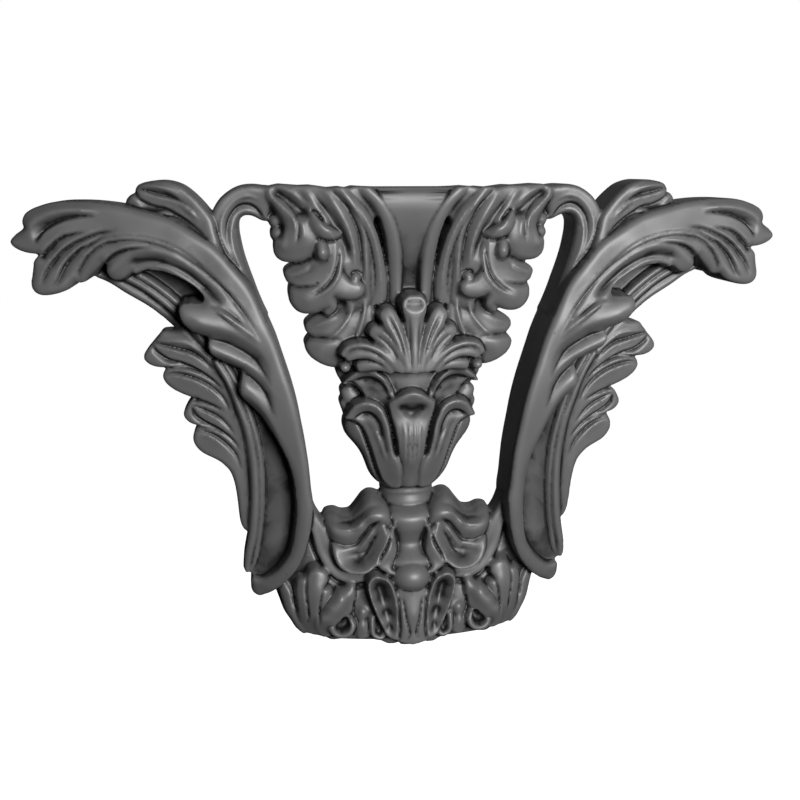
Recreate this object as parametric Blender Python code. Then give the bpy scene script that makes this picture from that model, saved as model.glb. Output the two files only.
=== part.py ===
"""Carved acanthus onlay: two sweeping leaf wings on C-scroll arms, hung from a bell capital
with a palmette and a leafy cup, and gathered in a leaf bowl below.

The onlay is one carved piece with a flat back. It is drawn as strokes, as a carver blocks out
a relief: each stroke follows the middle of a leaf lobe, strand or band, and is swept to a
rounded bar that runs straight back to the wall. The strokes are fused into one solid.

Frame: metres, +Z up, the front faces -Y, the flat back lies in Y = 0, the symmetry plane is
X = 0 and the origin is in the middle of the back.
"""

import bmesh
import bpy
import numpy as np
from mathutils import Matrix, Vector

# Driving sizes, in metres.
ONLAY_WIDTH = 0.500          # wing tip to wing tip
RELIEF_DEPTH = 0.048         # flat back to the palmette's proudest point
MOUNT_HEIGHT = 0.159         # lowest leaf to the middle of the back, where the origin is

# The drawing is made on a sheet 500 units wide, with the relief 48 units deep.
SHEET_WIDTH = 500.0
SHEET_DEPTH = 48.0
SCALE = ONLAY_WIDTH / SHEET_WIDTH
RELIEF = RELIEF_DEPTH / SHEET_DEPTH

# Fineness of the fused solid.
FUSING_PITCH = 1.7 * SCALE
SMOOTHING_ROUNDS = 2
TRIANGLES = 9600

# Fineness of one stroke.
STATIONS = 26
SPREAD = 10
TURNS = 40
BEHIND = 4.0                 # how far a stroke runs past the back before it is trimmed
ALLOWANCE = 0.45             # added to each half width, because smoothing shrinks the edges
FULLNESS = 2.6               # exponent of a rounded tip: 2 is a half circle, more is fuller

FINISH_COLOUR = (0.075, 0.075, 0.078, 1.0)
FINISH_ROUGHNESS = 0.42


def smooth_path(points, stations):
    """Points (out, up, proud, half width) joined by one smooth curve through all of them."""
    knots = np.array(points, float)
    steps = np.linalg.norm(np.diff(knots[:, :2], axis=0), axis=1)
    at = np.concatenate(([0.0], np.cumsum(np.maximum(steps, 0.5))))
    slopes = np.gradient(knots, at, axis=0) if len(knots) > 2 else np.repeat(
        np.diff(knots, axis=0) / at[-1], 2, axis=0)
    where = np.linspace(0.0, at[-1], stations)
    span = np.clip(np.searchsorted(at, where, side="right") - 1, 0, len(at) - 2)
    length = at[span + 1] - at[span]
    t = ((where - at[span]) / length)[:, None]
    length = length[:, None]
    return ((2 * t**3 - 3 * t**2 + 1) * knots[span]
            + (t**3 - 2 * t**2 + t) * length * slopes[span]
            + (3 * t**2 - 2 * t**3) * knots[span + 1]
            + (t**3 - t**2) * length * slopes[span + 1])


def fillet(near, reach):
    """Drop of a quarter-round edge, as a share of its depth, `near` to the edge."""
    inside = np.clip((reach - near) / reach, 0.0, 1.0)
    return 1.0 - np.sqrt(1.0 - inside**2)


class Relief:
    """The onlay's strokes, gathered in one mesh before they are fused."""

    def __init__(self):
        self.mesh = bmesh.new()

    def place(self, out, up, proud):
        """A point of the drawing as a point of the model."""
        return Vector((-out * SCALE, -proud * RELIEF, up * SCALE - MOUNT_HEIGHT))

    def stroke(self, points, crown=1.0, roll=2.5, tilt=0.0, root=False, tip=True, both=True):
        """Sweep a rounded bar along the points, and mirror it to the other side.

        crown is how much the middle stands above the edges, roll the depth of the rounded
        edge, tilt how much the left edge stands above the right one, seen along the stroke.
        A closed root or tip is rounded off; an open one is cut square.
        """
        path = smooth_path(points, STATIONS)
        ahead = np.gradient(path[:, :2], axis=0)
        ahead /= np.linalg.norm(ahead, axis=1)[:, None]
        left = np.stack((ahead[:, 1], -ahead[:, 0]), 1)
        run = np.concatenate(([0.0], np.cumsum(np.linalg.norm(np.diff(path[:, :2], axis=0), axis=1))))
        half = np.maximum(path[:, 3], 0.3) + ALLOWANCE
        ends = np.full(STATIONS, np.inf)
        if tip:
            ends = np.minimum(ends, run[-1] - run)
        if root:
            ends = np.minimum(ends, run)
        cap = np.minimum(half, 0.45 * run[-1])
        closing = np.clip(1.0 - ends / cap, 0.0, 1.0)
        width = half * np.maximum(1.0 - closing**FULLNESS, 0.0) ** (1.0 / FULLNESS)
        for side in ((1.0, -1.0) if both else (1.0,)):
            bar = bmesh.new()
            grid = bmesh.ops.create_grid(bar, x_segments=SPREAD, y_segments=STATIONS - 1, size=1.0)["verts"]
            for vert in grid:
                across = vert.co.x
                row = int(round((vert.co.y + 1.0) / 2.0 * (STATIONS - 1)))
                reach = 0.45 * half[row] + 0.6
                near = min((1.0 - abs(across)) * width[row], ends[row])
                proud = (path[row, 2] + tilt * across - crown * across**2
                         - roll * fillet(near, reach))
                spot = path[row, :2] + left[row] * across * width[row]
                vert.co = self.place(side * spot[0], spot[1], max(proud, 1.0))
            grown = bmesh.ops.extrude_face_region(bar, geom=list(bar.faces))["geom"]
            for vert in (item for item in grown if isinstance(item, bmesh.types.BMVert)):
                vert.co.y = BEHIND * RELIEF
            self.add(bar)

    def add(self, piece):
        """Take a finished closed piece into the relief."""
        bmesh.ops.recalc_face_normals(piece, faces=list(piece.faces))
        carrier = bpy.data.meshes.new("piece")
        piece.to_mesh(carrier)
        piece.free()
        self.mesh.from_mesh(carrier)
        bpy.data.meshes.remove(carrier)

    def knob(self, out, up, proud, across, tall, deep, both=True):
        """A rounded ball on a post that runs back to the wall."""
        for side in ((1.0, -1.0) if both else (1.0,)):
            piece = bmesh.new()
            middle = self.place(side * out, up, proud - deep)
            ball = Matrix.Translation(middle) @ Matrix.Diagonal(
                (across * SCALE, deep * RELIEF, tall * SCALE, 1.0))
            bmesh.ops.create_uvsphere(piece, u_segments=20, v_segments=12, radius=1.0, matrix=ball)
            back = (proud - deep + BEHIND) * RELIEF
            post = (Matrix.Translation(middle + Vector((0.0, back / 2.0, 0.0)))
                    @ Matrix.Rotation(np.pi / 2.0, 4, "X")
                    @ Matrix.Diagonal((across * SCALE, tall * SCALE, 1.0, 1.0)))
            bmesh.ops.create_cone(piece, cap_ends=True, segments=20, radius1=0.96, radius2=0.96,
                                  depth=back, matrix=post)
            self.add(piece)

    def turned(self, profile, proud, flatten):
        """A turned form on the centre line: (radius, up) points, its axis `proud` of the back."""
        piece = bmesh.new()
        rim = [piece.verts.new(self.place(-radius, up, 0.0)) for radius, up in profile]
        edges = [piece.edges.new(pair) for pair in zip(rim, rim[1:])]
        bmesh.ops.spin(piece, geom=rim + edges, cent=(0.0, 0.0, 0.0), axis=(0.0, 0.0, 1.0),
                       dvec=(0.0, 0.0, 0.0), angle=2.0 * np.pi, steps=TURNS, use_merge=True)
        for vert in piece.verts:
            vert.co.y = vert.co.y * flatten - proud * RELIEF
        bmesh.ops.holes_fill(piece, edges=[edge for edge in piece.edges if edge.is_boundary], sides=0)
        self.add(piece)


def wing(relief):
    """The long leaf that sweeps outwards and ends in three lobes."""
    stroke = relief.stroke
    # The broad sheet that carries the feathers.
    stroke(((96, 205, 37, 12), (114, 238, 35, 15), (138, 266, 33, 16), (165, 281, 31, 15),
            (192, 286, 29, 14), (215, 284, 27, 13), (229, 280, 25, 9)), crown=1.0)
    stroke(((150, 262, 20, 8), (175, 274, 20, 12), (200, 275, 20, 12)), crown=0.3, roll=0.5)
    # The top feather, with its rolled back and its nose.
    stroke(((112, 240, 39, 9), (130, 269, 38, 12), (148, 286, 36.5, 12), (166, 294, 35, 10),
            (185, 297, 34, 8), (203, 299, 33, 5), (215, 299, 32, 3)), crown=2.0, roll=1.5)
    stroke(((178, 300, 31, 4), (200, 302.5, 31, 4.5), (217, 303, 31, 4.5), (232, 300, 30, 5.2),
            (243.5, 295.5, 28, 4.5)), crown=1.5, roll=4)
    stroke(((198, 300, 33, 3), (213, 299.5, 33, 3.5), (226, 295, 32.5, 5), (238, 285.5, 31.5, 8),
            (250.4, 283, 30, 5)), crown=1.5, roll=3, tilt=-1.0)
    # The feathers below it, down to the second lobe.
    stroke(((185, 296, 33.5, 4), (205, 295, 33, 4), (217, 291, 32, 4.5), (227, 284, 31, 4),
            (232, 278, 30, 2.5)), crown=1.5, roll=2.5, tilt=-0.5)
    stroke(((180, 292.5, 34, 2), (200, 290.5, 33.5, 2.5), (214, 286, 33, 3.5), (225, 277, 33, 5),
            (232.3, 265, 33.5, 6), (234.6, 250, 34, 5.3)), crown=1.5, roll=3)
    stroke(((180, 290, 34, 1.5), (197, 287, 33.5, 2), (208, 281.5, 33, 2.5), (217, 273, 32.5, 3),
            (225, 262, 33, 4), (230, 249.5, 33, 4)), crown=1, roll=2.5)
    stroke(((186, 287, 34, 1.5), (200, 282, 33, 2.5), (209, 273, 32, 4), (216.5, 263, 32, 5),
            (224, 251.5, 32, 5)), crown=1.2, roll=2.5)
    # The third lobe and the fourth, which hangs lowest beside the arm.
    stroke(((150, 277, 36, 4), (168, 283.5, 35, 4), (184, 283, 34.5, 4), (195, 277.5, 34, 5),
            (203, 270, 33, 5.5), (209.5, 258.5, 31, 4.5)), crown=1.5, roll=3)
    stroke(((128, 256, 38, 5), (142, 268, 37, 6), (158, 275.5, 36, 5.5), (173, 275.5, 36, 5.5),
            (186, 270, 35, 7), (190.5, 258.5, 32, 5.5)), crown=2.0, roll=4)
    # The double ridge along its back and the rim of its lower edge.
    stroke(((100, 232, 42, 1.4), (113, 252, 41, 1.4), (127, 267, 40, 1.4), (141, 277, 39, 1.4),
            (156, 284, 38, 1.3), (171, 287, 37, 1.3), (185, 287, 36.3, 1.3), (198, 282, 35.5, 1.2),
            (207, 274, 34.5, 1.1), (212, 264, 33, 0.9)), crown=0.4, roll=1.5)
    stroke(((122, 233, 38, 2), (133, 246, 38, 2.2), (141, 255, 37.5, 2.4), (150, 262, 37, 2.4),
            (160, 266.5, 36, 2.4), (170, 267.5, 35, 2.2), (178, 264.7, 33.5, 1.4)), crown=0.6, roll=2)


def crest(relief):
    """The feathers that stand up behind the wing."""
    stroke = relief.stroke
    stroke(((108, 252, 36, 6), (119, 277, 35, 7), (130.3, 294.5, 33.5, 6.6), (141.5, 306.5, 31.5, 6.2),
            (152, 315, 30, 5.5), (163, 317.5, 29, 3.8), (173.5, 317.5, 28, 2.6)), crown=2, roll=3)
    stroke(((118, 270, 35, 3), (127, 285, 33.5, 3), (137, 297, 32, 3), (147, 305, 31, 3.2),
            (157, 308.5, 30, 3.2), (166, 311, 29.5, 3.2), (173, 314.5, 28.5, 2.6)), crown=1.2, roll=3)
    stroke(((126, 280, 31, 3), (138, 293, 29.5, 3), (149, 299.5, 28, 3), (160, 302.5, 27, 3.6),
            (170, 305.5, 26, 5.3), (181, 308.5, 25, 5)), crown=1.5, roll=3)
    stroke(((117, 264, 38, 3), (128, 279, 37, 3), (140, 289.5, 36, 2.8), (150, 295.5, 35, 2.4),
            (160, 298.5, 33.5, 1.4)), crown=0.8, roll=2)


def arm(relief):
    """The C-scroll arm from the wing down to the foot, with its sunk panel."""
    stroke = relief.stroke
    # Trunk along the opening.
    stroke(((109.8, 40, 16, 6.4), (102, 39.7, 18, 6.2), (95, 43, 20, 5.6), (87.5, 50.5, 24, 5.5),
            (80.5, 63, 28, 5.5), (75.5, 83, 33, 5.2), (73.5, 106, 36, 5), (75, 128, 38, 5.5), (79.3, 150, 40, 6.8),
            (85, 172, 41, 8.5), (91.7, 196, 41.5, 9.8), (101, 218, 41, 10.5), (112, 238, 40, 11.5),
            (124.5, 257, 39, 12)), crown=2.0, roll=2.5)
    # Floor of the sunk panel and its two rim strands.
    stroke(((104, 44, 9, 8), (97, 62, 11, 12), (93, 80, 13, 13), (91, 100, 15, 14), (91, 120, 17, 13),
            (95, 140, 19, 12), (101, 158, 20, 11), (110, 178, 21, 9), (120, 196, 21, 8)),
           crown=0.5, roll=0.5)
    stroke(((114, 45, 11, 2.4), (112.7, 60, 15, 2.6), (109, 78, 18, 3), (106.7, 98, 20, 3),
            (106, 118, 21, 3), (107, 138, 22, 3), (110, 157, 24, 2.6), (114.5, 172, 25, 2.3),
            (121, 190, 26, 2), (129, 205, 26, 2)), crown=1.2, roll=2, tilt=-0.5)
    stroke(((108.5, 56, 12, 1), (104.5, 76, 15, 1.5), (102, 98, 17, 1.6), (101.2, 118, 19, 1.6),
            (102, 138, 21, 1.6), (105, 156, 23, 1.6), (110, 174, 24, 1.5), (117, 192, 25, 1.5)),
           crown=0.8, roll=1.5)
    stroke(((112, 120, 13, 5), (110, 140, 14, 7), (114, 160, 14, 6)), crown=0.3, roll=0.5)
    # Three leaves that lap down the trunk.
    stroke(((92, 190, 42, 6), (102, 208, 44, 8), (115, 222, 45.5, 8.5), (129, 232, 46, 8),
            (141, 238.5, 45.5, 5.5), (148, 241, 44.5, 3)), crown=1.5, roll=5, tilt=-3.5)
    stroke(((86, 165, 41, 5), (94, 184, 42.5, 7), (105, 199, 44, 7.5), (117, 209.5, 44.5, 6.5),
            (126, 215, 44.5, 5), (131, 217.5, 44, 2.8)), crown=1.5, roll=4.5, tilt=-3)
    stroke(((76, 122, 38.5, 4.5), (81, 145, 40.5, 6.5), (88.5, 162, 42.5, 7.5), (97, 176, 44, 8),
            (105, 186, 45, 6.5), (110.5, 193, 45, 4)), crown=1.5, roll=4, tilt=-2.5)


def rear_stem(relief):
    """The double-ridged stem that rises behind the wing, and the sunk panel beside it."""
    stroke = relief.stroke
    stroke(((112, 186, 20, 8), (126, 207, 18, 8), (142, 228, 15, 9), (160, 247, 14, 10),
            (178, 259, 13, 8)), crown=0.3, roll=0.5)
    stroke(((122, 196, 20, 4), (138, 215, 18, 4.8), (151.5, 230.8, 17, 5.2), (165.8, 243.8, 17, 5.3),
            (181, 253.6, 17, 5.2), (194, 261, 16.5, 4.2), (204, 263.5, 16, 2.5)), crown=1.5, roll=5, tilt=2.5)
    for offset in (0.0, 5.2):
        stroke(tuple((out - 0.64 * offset, up + 0.77 * offset, proud, 2.1) for out, up, proud in (
            (126, 203, 23), (137, 218, 22), (149, 232.5, 21), (162, 245.5, 20.5), (176, 256, 20),
            (190, 263, 19))), crown=0.8, roll=2.5)


def fan(relief):
    """The four groups of small leaves on the arm's outer side and the tail leaf under them."""
    stroke = relief.stroke
    # First group: two ribs above a round lobe.
    stroke(((117, 184, 21, 2.5), (127, 199, 20.5, 3.2), (139, 210, 20, 4), (151, 216.5, 19, 5),
            (166.5, 219, 17.5, 4.6)), crown=1.2, roll=4)
    stroke(((117, 174, 20, 2.5), (127, 188, 19.5, 3), (137, 198.5, 19.5, 3.2), (147, 205, 19, 3.4),
            (157, 209, 18.5, 3.4), (168.5, 213.5, 17.5, 3)), crown=1, roll=3.5)
    stroke(((130, 187, 16, 3), (145, 198.5, 16, 3.2), (157, 201.8, 16, 4.6), (167, 204.8, 15.5, 5.4),
            (176, 207.5, 14.5, 5)), crown=1.5, roll=3)
    # Second group: a rim above a broad lobe.
    stroke(((114, 158, 20, 2), (122, 173, 19.5, 2.6), (132, 186, 19.5, 3), (144, 194.5, 18.5, 3.2),
            (155, 197.5, 17.5, 2.8), (163.5, 195, 16.5, 2.2)), crown=0.8, roll=3)
    stroke(((113, 152, 19, 3), (121, 165, 18.5, 4), (131, 176.5, 18, 5.2), (144, 184, 17.5, 6.5),
            (156, 189, 16.5, 6.6), (164.5, 191.5, 15.5, 6)), crown=1.2, roll=3)
    # Third group, smaller: two ribs above a round lobe.
    stroke(((113, 146, 20, 1.8), (121, 158, 19.5, 2.4), (131, 167.5, 19, 3), (139, 172.5, 18, 3.2),
            (148.5, 173, 16.5, 3)), crown=0.8, roll=3.2)
    stroke(((112, 140, 19, 1.8), (120, 152, 18.5, 2.4), (129, 161, 18, 2.6), (138, 167, 17.5, 2.6),
            (144.5, 171.5, 16.8, 2.2)), crown=0.8, roll=3)
    stroke(((122, 150, 15.5, 2), (134, 158.8, 15.5, 3), (143, 162.3, 15.3, 4.8), (152.3, 165, 14.5, 4.8)),
           crown=1.2, roll=3)
    # Fourth group: a rim above a broad lobe.
    stroke(((111, 120, 20, 1.5), (115, 133, 19.5, 2.2), (123, 145.5, 19, 2.6), (133, 153.5, 18.3, 2.5),
            (144, 155, 16.8, 2)), crown=0.8, roll=3)
    stroke(((110.5, 112, 18, 4), (114.5, 125, 18, 5.6), (122, 135.7, 18, 7), (132, 143.5, 17.5, 7.6),
            (140, 148, 16.5, 8.2), (147, 150.5, 15.5, 8)), crown=1.5, roll=3)
    # Tail leaf down the outer side.
    stroke(((115, 134, 17.5, 7), (113.6, 118, 17, 5.6), (113, 98, 16, 4.6), (112.5, 79.5, 14.5, 3.6)),
           crown=1.5, roll=2.5)


def hook(relief):
    """The top of the C-scroll: an outer and an inner band with a groove between them."""
    stroke = relief.stroke
    stroke(((100, 232, 18, 6), (109, 254, 19, 6.5), (115.5, 272, 20, 7), (118.5, 290, 20, 7.5),
            (114.5, 303, 20, 7.5), (106, 308.5, 20, 7), (99, 306, 20, 5), (94.5, 299, 20, 2)), crown=0.2, roll=0.5)
    stroke(((104, 244, 28, 3.5), (113, 263, 29, 4), (120, 280, 30, 4.2), (122.8, 294, 31, 4.6),
            (118.5, 306, 31, 5.2), (110, 312.3, 31, 5.1), (101, 313.6, 31, 4.9), (95, 309.5, 30.5, 3.4),
            (92.7, 302.5, 29, 2.2), (93.5, 296.5, 26, 1.6)), crown=1.2, roll=3)
    stroke(((99.8, 232, 24, 4.6), (108, 253, 25, 4.6), (112.9, 271, 26, 3.8), (115, 286, 27, 3.6),
            (113.3, 296, 27, 3.6), (108.5, 301.7, 27, 3.7), (102.5, 303, 27, 3.7), (97.3, 300.7, 26.5, 2.9),
            (94, 297.5, 25.5, 1.3)), crown=1.0, roll=2.5)
    # The stem's own rib, beside the opening.
    stroke(((100, 232, 26, 1.5), (108.5, 252, 27, 1.5), (113.5, 270, 28, 1.5), (117, 285, 28.5, 1.4),
            (116.5, 296, 28.5, 1.2)), crown=0.4, roll=1.5)


def upper_leaf(relief):
    """The curled leaf inside the hook, with two beads, a nose, an ear and a small curl."""
    stroke = relief.stroke
    stroke(((90, 312, 30, 6), (80, 300, 31, 9), (72, 288, 31, 10), (62, 278, 30, 9)), crown=0.5, roll=1)
    relief.knob(87.5, 296, 28, 4.6, 4.8, 6)
    relief.knob(86, 288.3, 30, 5, 5.2, 7)
    stroke(((99, 314.5, 32, 4), (91, 310.5, 33.5, 4.5), (84, 303, 35.5, 4.5), (80.5, 293, 36, 5.2),
            (80.3, 282, 35, 7.6), (79.5, 269, 32.5, 9)), crown=1.5, roll=4)
    stroke(((89, 318.5, 33, 2.8), (81, 310.5, 36, 2.6), (75, 302, 38, 2.5), (71.5, 292, 38.5, 3.5),
            (71, 282, 37, 6), (69.5, 271.5, 34, 7)), crown=1.2, roll=3)
    stroke(((78, 317.5, 34, 3.2), (70, 311, 38, 3.2), (63.5, 303, 40, 2.8), (60, 295, 41, 2.5),
            (61, 286, 41, 3), (64, 279, 39, 3)), crown=1.0, roll=3)
    stroke(((66, 303.5, 38, 1.4), (63.3, 297, 41, 2.4), (58.5, 290.5, 42, 3), (53, 287.2, 41, 2.8),
            (48.3, 289, 39.5, 1.6)), crown=0.8, roll=2.5)
    relief.knob(60, 278.5, 43, 3.6, 6.8, 9)


def lower_leaf(relief):
    """The second leaf of the pair: a point, a large nose, a drop and a right-hand lobe."""
    stroke = relief.stroke
    stroke(((36, 300, 24, 6), (34, 280, 24, 6), (33, 262, 24, 5)), crown=0.5, roll=1)
    stroke(((58, 312, 34, 9), (50, 296, 33, 10), (46, 278, 32, 11), (48, 262, 31, 12), (56, 252, 29, 9)),
           crown=0.5, roll=1)
    stroke(((68, 317.5, 36, 3.5), (59.5, 307, 39, 3.5), (53, 296, 40, 3.5), (50, 284, 40, 3.2)),
           crown=0.8, roll=2.5)
    stroke(((57, 317.5, 39, 3), (50, 307, 41, 3), (43.5, 295, 40.5, 3), (39.5, 283, 39, 3),
            (38, 271, 38, 3.5), (38.5, 261, 37, 4)), crown=1, roll=2.5)
    stroke(((51, 293, 38, 3), (53, 282, 38, 4), (57.5, 272.5, 36, 5), (66, 265.5, 33, 5),
            (75, 260.6, 30, 4.3), (83, 259.3, 27, 3.3)), crown=0.8, roll=5, tilt=1.5)
    stroke(((45.5, 290, 39, 2), (44.5, 277, 39, 3), (47.5, 265, 38.5, 4.5), (54.5, 255, 37.5, 7),
            (64, 247.8, 36, 9.8), (72, 246, 34.5, 10), (80, 247, 32, 9)), crown=2.2, roll=5)
    stroke(((49, 247, 33, 3), (53, 241.5, 33, 3.4), (56.7, 236.5, 30.5, 2)), crown=0.8, roll=2.5)
    stroke(((50, 256, 35, 4), (43.5, 252, 36.5, 5), (37.5, 251.5, 36.5, 5.6), (33.2, 253, 35, 4)),
           crown=1.2, roll=4)
    relief.knob(37.3, 258.5, 35.5, 3.2, 3.4, 5)


def tail_leaf(relief):
    """The two points below the pair of leaves, behind the palmette."""
    stroke = relief.stroke
    stroke(((30, 262, 26, 6), (31, 245, 26, 8), (36, 228, 26, 12), (42, 215, 25, 12)), crown=0.5, roll=1)
    stroke(((33, 255, 29, 3), (36, 243, 29.5, 4), (41.5, 233.5, 29, 5.5), (49.5, 228.5, 28, 5.8),
            (59, 225.2, 25, 4.7), (69.3, 224, 20.5, 3.6)), crown=1, roll=4, tilt=-0.5)
    stroke(((28, 252, 28, 3), (30.5, 237, 29, 5), (35.5, 223, 29, 7.5), (44, 211.5, 28.5, 10.3),
            (54, 209, 27, 9.8), (61.5, 209.5, 25.5, 9), (68, 212, 24, 7)), crown=1.5, roll=4)


def bell(relief):
    """The bell capital: a flaring panel between strands that fall from its top edge."""
    stroke = relief.stroke
    stroke(((0, 200, 18, 30), (0, 230, 18, 28), (0, 262, 19, 28), (0, 285, 20, 32), (0, 303, 22, 42),
            (0, 317, 22, 55)), crown=0.2, roll=0.5, tip=False, both=False)
    stroke(((0, 236, 25, 6), (0, 262, 27, 6), (0, 279, 31, 8), (0, 291, 36, 11), (0, 301, 39.5, 15.5),
            (0, 308.5, 41, 21), (0, 313.5, 40.5, 27), (0, 317, 37.5, 33)),
           crown=-0.3, roll=0.2, tip=False, both=False)
    stroke(((9.5, 236, 27.5, 4.6), (9.7, 252, 28.5, 4.6), (10.3, 268, 31, 4.7), (12.8, 283, 35, 4.7),
            (18, 297.5, 39.5, 4.6), (26, 309, 42, 4.6), (34, 317, 41, 4.2)),
           crown=1.3, roll=3, tilt=-0.8, tip=False)
    stroke(((19, 236, 29, 3), (19.5, 254, 32, 3.2), (20.6, 268, 34.5, 3.4), (23, 282, 37.5, 3.3),
            (29, 297, 41, 3.2), (36.5, 308.5, 43, 3.1), (44, 317, 41.5, 3)), crown=0.8, roll=3, tip=False)
    stroke(((26.3, 241.5, 28.5, 1.8), (26, 254, 31.5, 2.3), (27, 268, 34, 2.5), (29.5, 283, 37, 2.7),
            (35.5, 297, 40, 2.7), (43, 308.5, 42, 2.5), (50, 317, 40.5, 2.4)),
           crown=0.6, roll=2.5, root=True, tip=False)


def palmette(relief):
    """The fan of lobes over the cup."""
    stroke = relief.stroke
    stroke(((0, 200, 38, 16), (0, 212, 37, 20), (0, 224, 35, 16), (0, 236, 34, 9)), crown=3, roll=3,
           root=True, both=False)
    stroke(((0, 196, 48, 4), (0, 208, 48, 4.3), (0, 221, 47, 5), (0, 233, 47, 6.8), (0, 242, 47.5, 8.6),
            (0, 249.5, 45.5, 7.5)), crown=0.8, roll=3, root=True, both=False)
    stroke(((3.5, 197, 48, 3), (6.5, 210, 47.5, 3.6), (10.5, 222, 46.5, 4.5), (15.5, 232.5, 45, 6),
            (20, 240, 42.5, 5)), crown=0.4, roll=3, root=True)
    stroke(((7, 197, 47.5, 3), (10.5, 207, 46.5, 3.8), (15.5, 216, 45, 5), (22, 222.5, 43, 5.6),
            (29, 226, 40.5, 4)), crown=0.6, roll=3, root=True)
    # The lower curl: a raised outer band round a second one.
    stroke(((9, 198, 47, 2.5), (16, 206.5, 46, 2.8), (25, 213, 45.5, 2.8), (34.5, 215.5, 44.5, 2.8),
            (43, 213.3, 43, 2.8), (47.3, 208, 41.5, 2.2)), crown=0.6, roll=2.5, root=True)
    stroke(((13, 198, 45.5, 3), (21, 205, 45, 3), (30, 209.5, 44, 3), (38.5, 209.5, 43, 3.4),
            (45, 206.3, 41.5, 2.6)), crown=0.6, roll=2.5, root=True)
    stroke(((13, 197.5, 45, 2.5), (22, 201.5, 44, 3.4), (31, 202, 42.5, 4), (38, 200.3, 40.5, 3.7)),
           crown=0.8, roll=3, root=True)
    relief.knob(44.5, 199.5, 36, 4, 3.6, 5)


def cup(relief):
    """The leafy cup under the palmette, turned and flattened, with two rows of leaves."""
    stroke = relief.stroke
    relief.turned(((18.5, 108), (21, 113), (25, 119), (27.2, 127), (30, 135), (33.4, 144), (36, 156),
                   (36, 172), (37, 190), (37, 204)), 6, 0.68)
    # Lower row: the front leaf with its rolled lip, and a curled leaf on each side.
    stroke(((0, 115, 26, 11), (0, 127, 31.5, 11), (0, 140, 34, 9.5), (0, 155, 34, 9), (0, 166, 33, 11),
            (0, 174, 33, 14.5), (0, 180, 32, 14.5)), crown=0.8, roll=3, root=True, both=False)
    stroke(((12.5, 176.5, 36, 3), (6, 178.5, 37.5, 4), (0, 179.3, 38, 4.3), (-6, 178.5, 37.5, 4),
            (-12.5, 176.5, 36, 3)), crown=1.5, roll=3.5, root=True, both=False)
    stroke(((0, 124, 33, 1.2), (0, 140, 36.3, 1.3), (0, 152, 36.5, 1.3), (0, 162, 35.5, 1)),
           crown=0.4, roll=1.5, root=True, both=False)
    stroke(((3.4, 124, 32, 1.0), (3.6, 140, 35.5, 1.1), (4.2, 152, 35.6, 1.1), (6, 163, 35, 0.9)),
           crown=0.4, roll=1.5, root=True)
    stroke(((9.5, 132, 32.5, 2), (12.5, 143, 34.5, 2.2), (15.3, 155, 35.5, 2.6), (18.8, 166, 35.8, 3),
            (25, 172.6, 35, 3.5), (33, 174, 33.5, 3.5), (40.5, 170.3, 32.3, 2.8), (44.5, 165, 31, 1.6)),
           crown=0.8, roll=3, root=True)
    stroke(((15, 120, 26, 5), (19, 133, 29.5, 6), (23, 146, 30.5, 6.5), (27.5, 158, 30, 7),
            (33, 166, 29, 6)), crown=-0.6, roll=2, root=True)
    stroke(((15.5, 130, 31, 0.9), (18.5, 143, 33, 1), (22, 155, 33, 1), (26.5, 163, 32, 0.8)),
           crown=0.3, roll=1.4, root=True)
    stroke(((20, 110, 13, 2.5), (24.3, 121, 15, 3.3), (29.3, 134, 16, 3.8), (35.2, 146, 16, 4.4),
            (39.6, 158, 15, 4.4)), crown=1.5, roll=4, root=True)
    # Upper row: the same curled leaves, further out, with their side lobes.
    stroke(((12.5, 178, 30, 2), (16.5, 187.5, 33.5, 2.4), (23.5, 193.5, 36, 2.6), (32, 195.5, 37, 2.4),
            (39.5, 193.5, 36.5, 2.3), (45, 189.7, 35.8, 1.6)), crown=0.7, roll=2.5, root=True)
    stroke(((17, 172, 26, 7), (25, 180, 27.5, 8), (33, 186, 28.5, 8), (39, 188, 28, 4)),
           crown=-0.8, roll=1, root=True)
    stroke(((33, 166, 19, 6), (40, 177, 20, 6), (44, 183, 18, 4)), crown=1.2, roll=4)
    stroke(((32, 160, 18, 6), (40, 169, 19, 6), (44.8, 175, 18, 4)), crown=1, roll=3)
    stroke(((33, 186, 20, 8), (42, 194, 21, 7), (46.5, 201, 21, 5)), crown=1, roll=3)


def collar(relief):
    """The turned neck under the cup and the flared stem below it."""
    relief.turned(((15, 92), (18.5, 93), (20, 96.5), (20, 100), (18.6, 103.5), (18.2, 105), (18.9, 106.3),
                   (18.2, 107.6), (18, 109.5), (19, 112), (19, 117)), 5, 0.86)
    relief.stroke(((0, 96, 19, 17), (0, 90, 25, 14.5), (0, 82, 27, 11.5), (0, 76, 24, 10), (0, 68, 24, 9.8),
                   (0, 63.5, 31, 11), (0, 60, 33, 12.5), (0, 54, 34, 13)),
                  crown=3, roll=1.5, tip=False, both=False)


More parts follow.
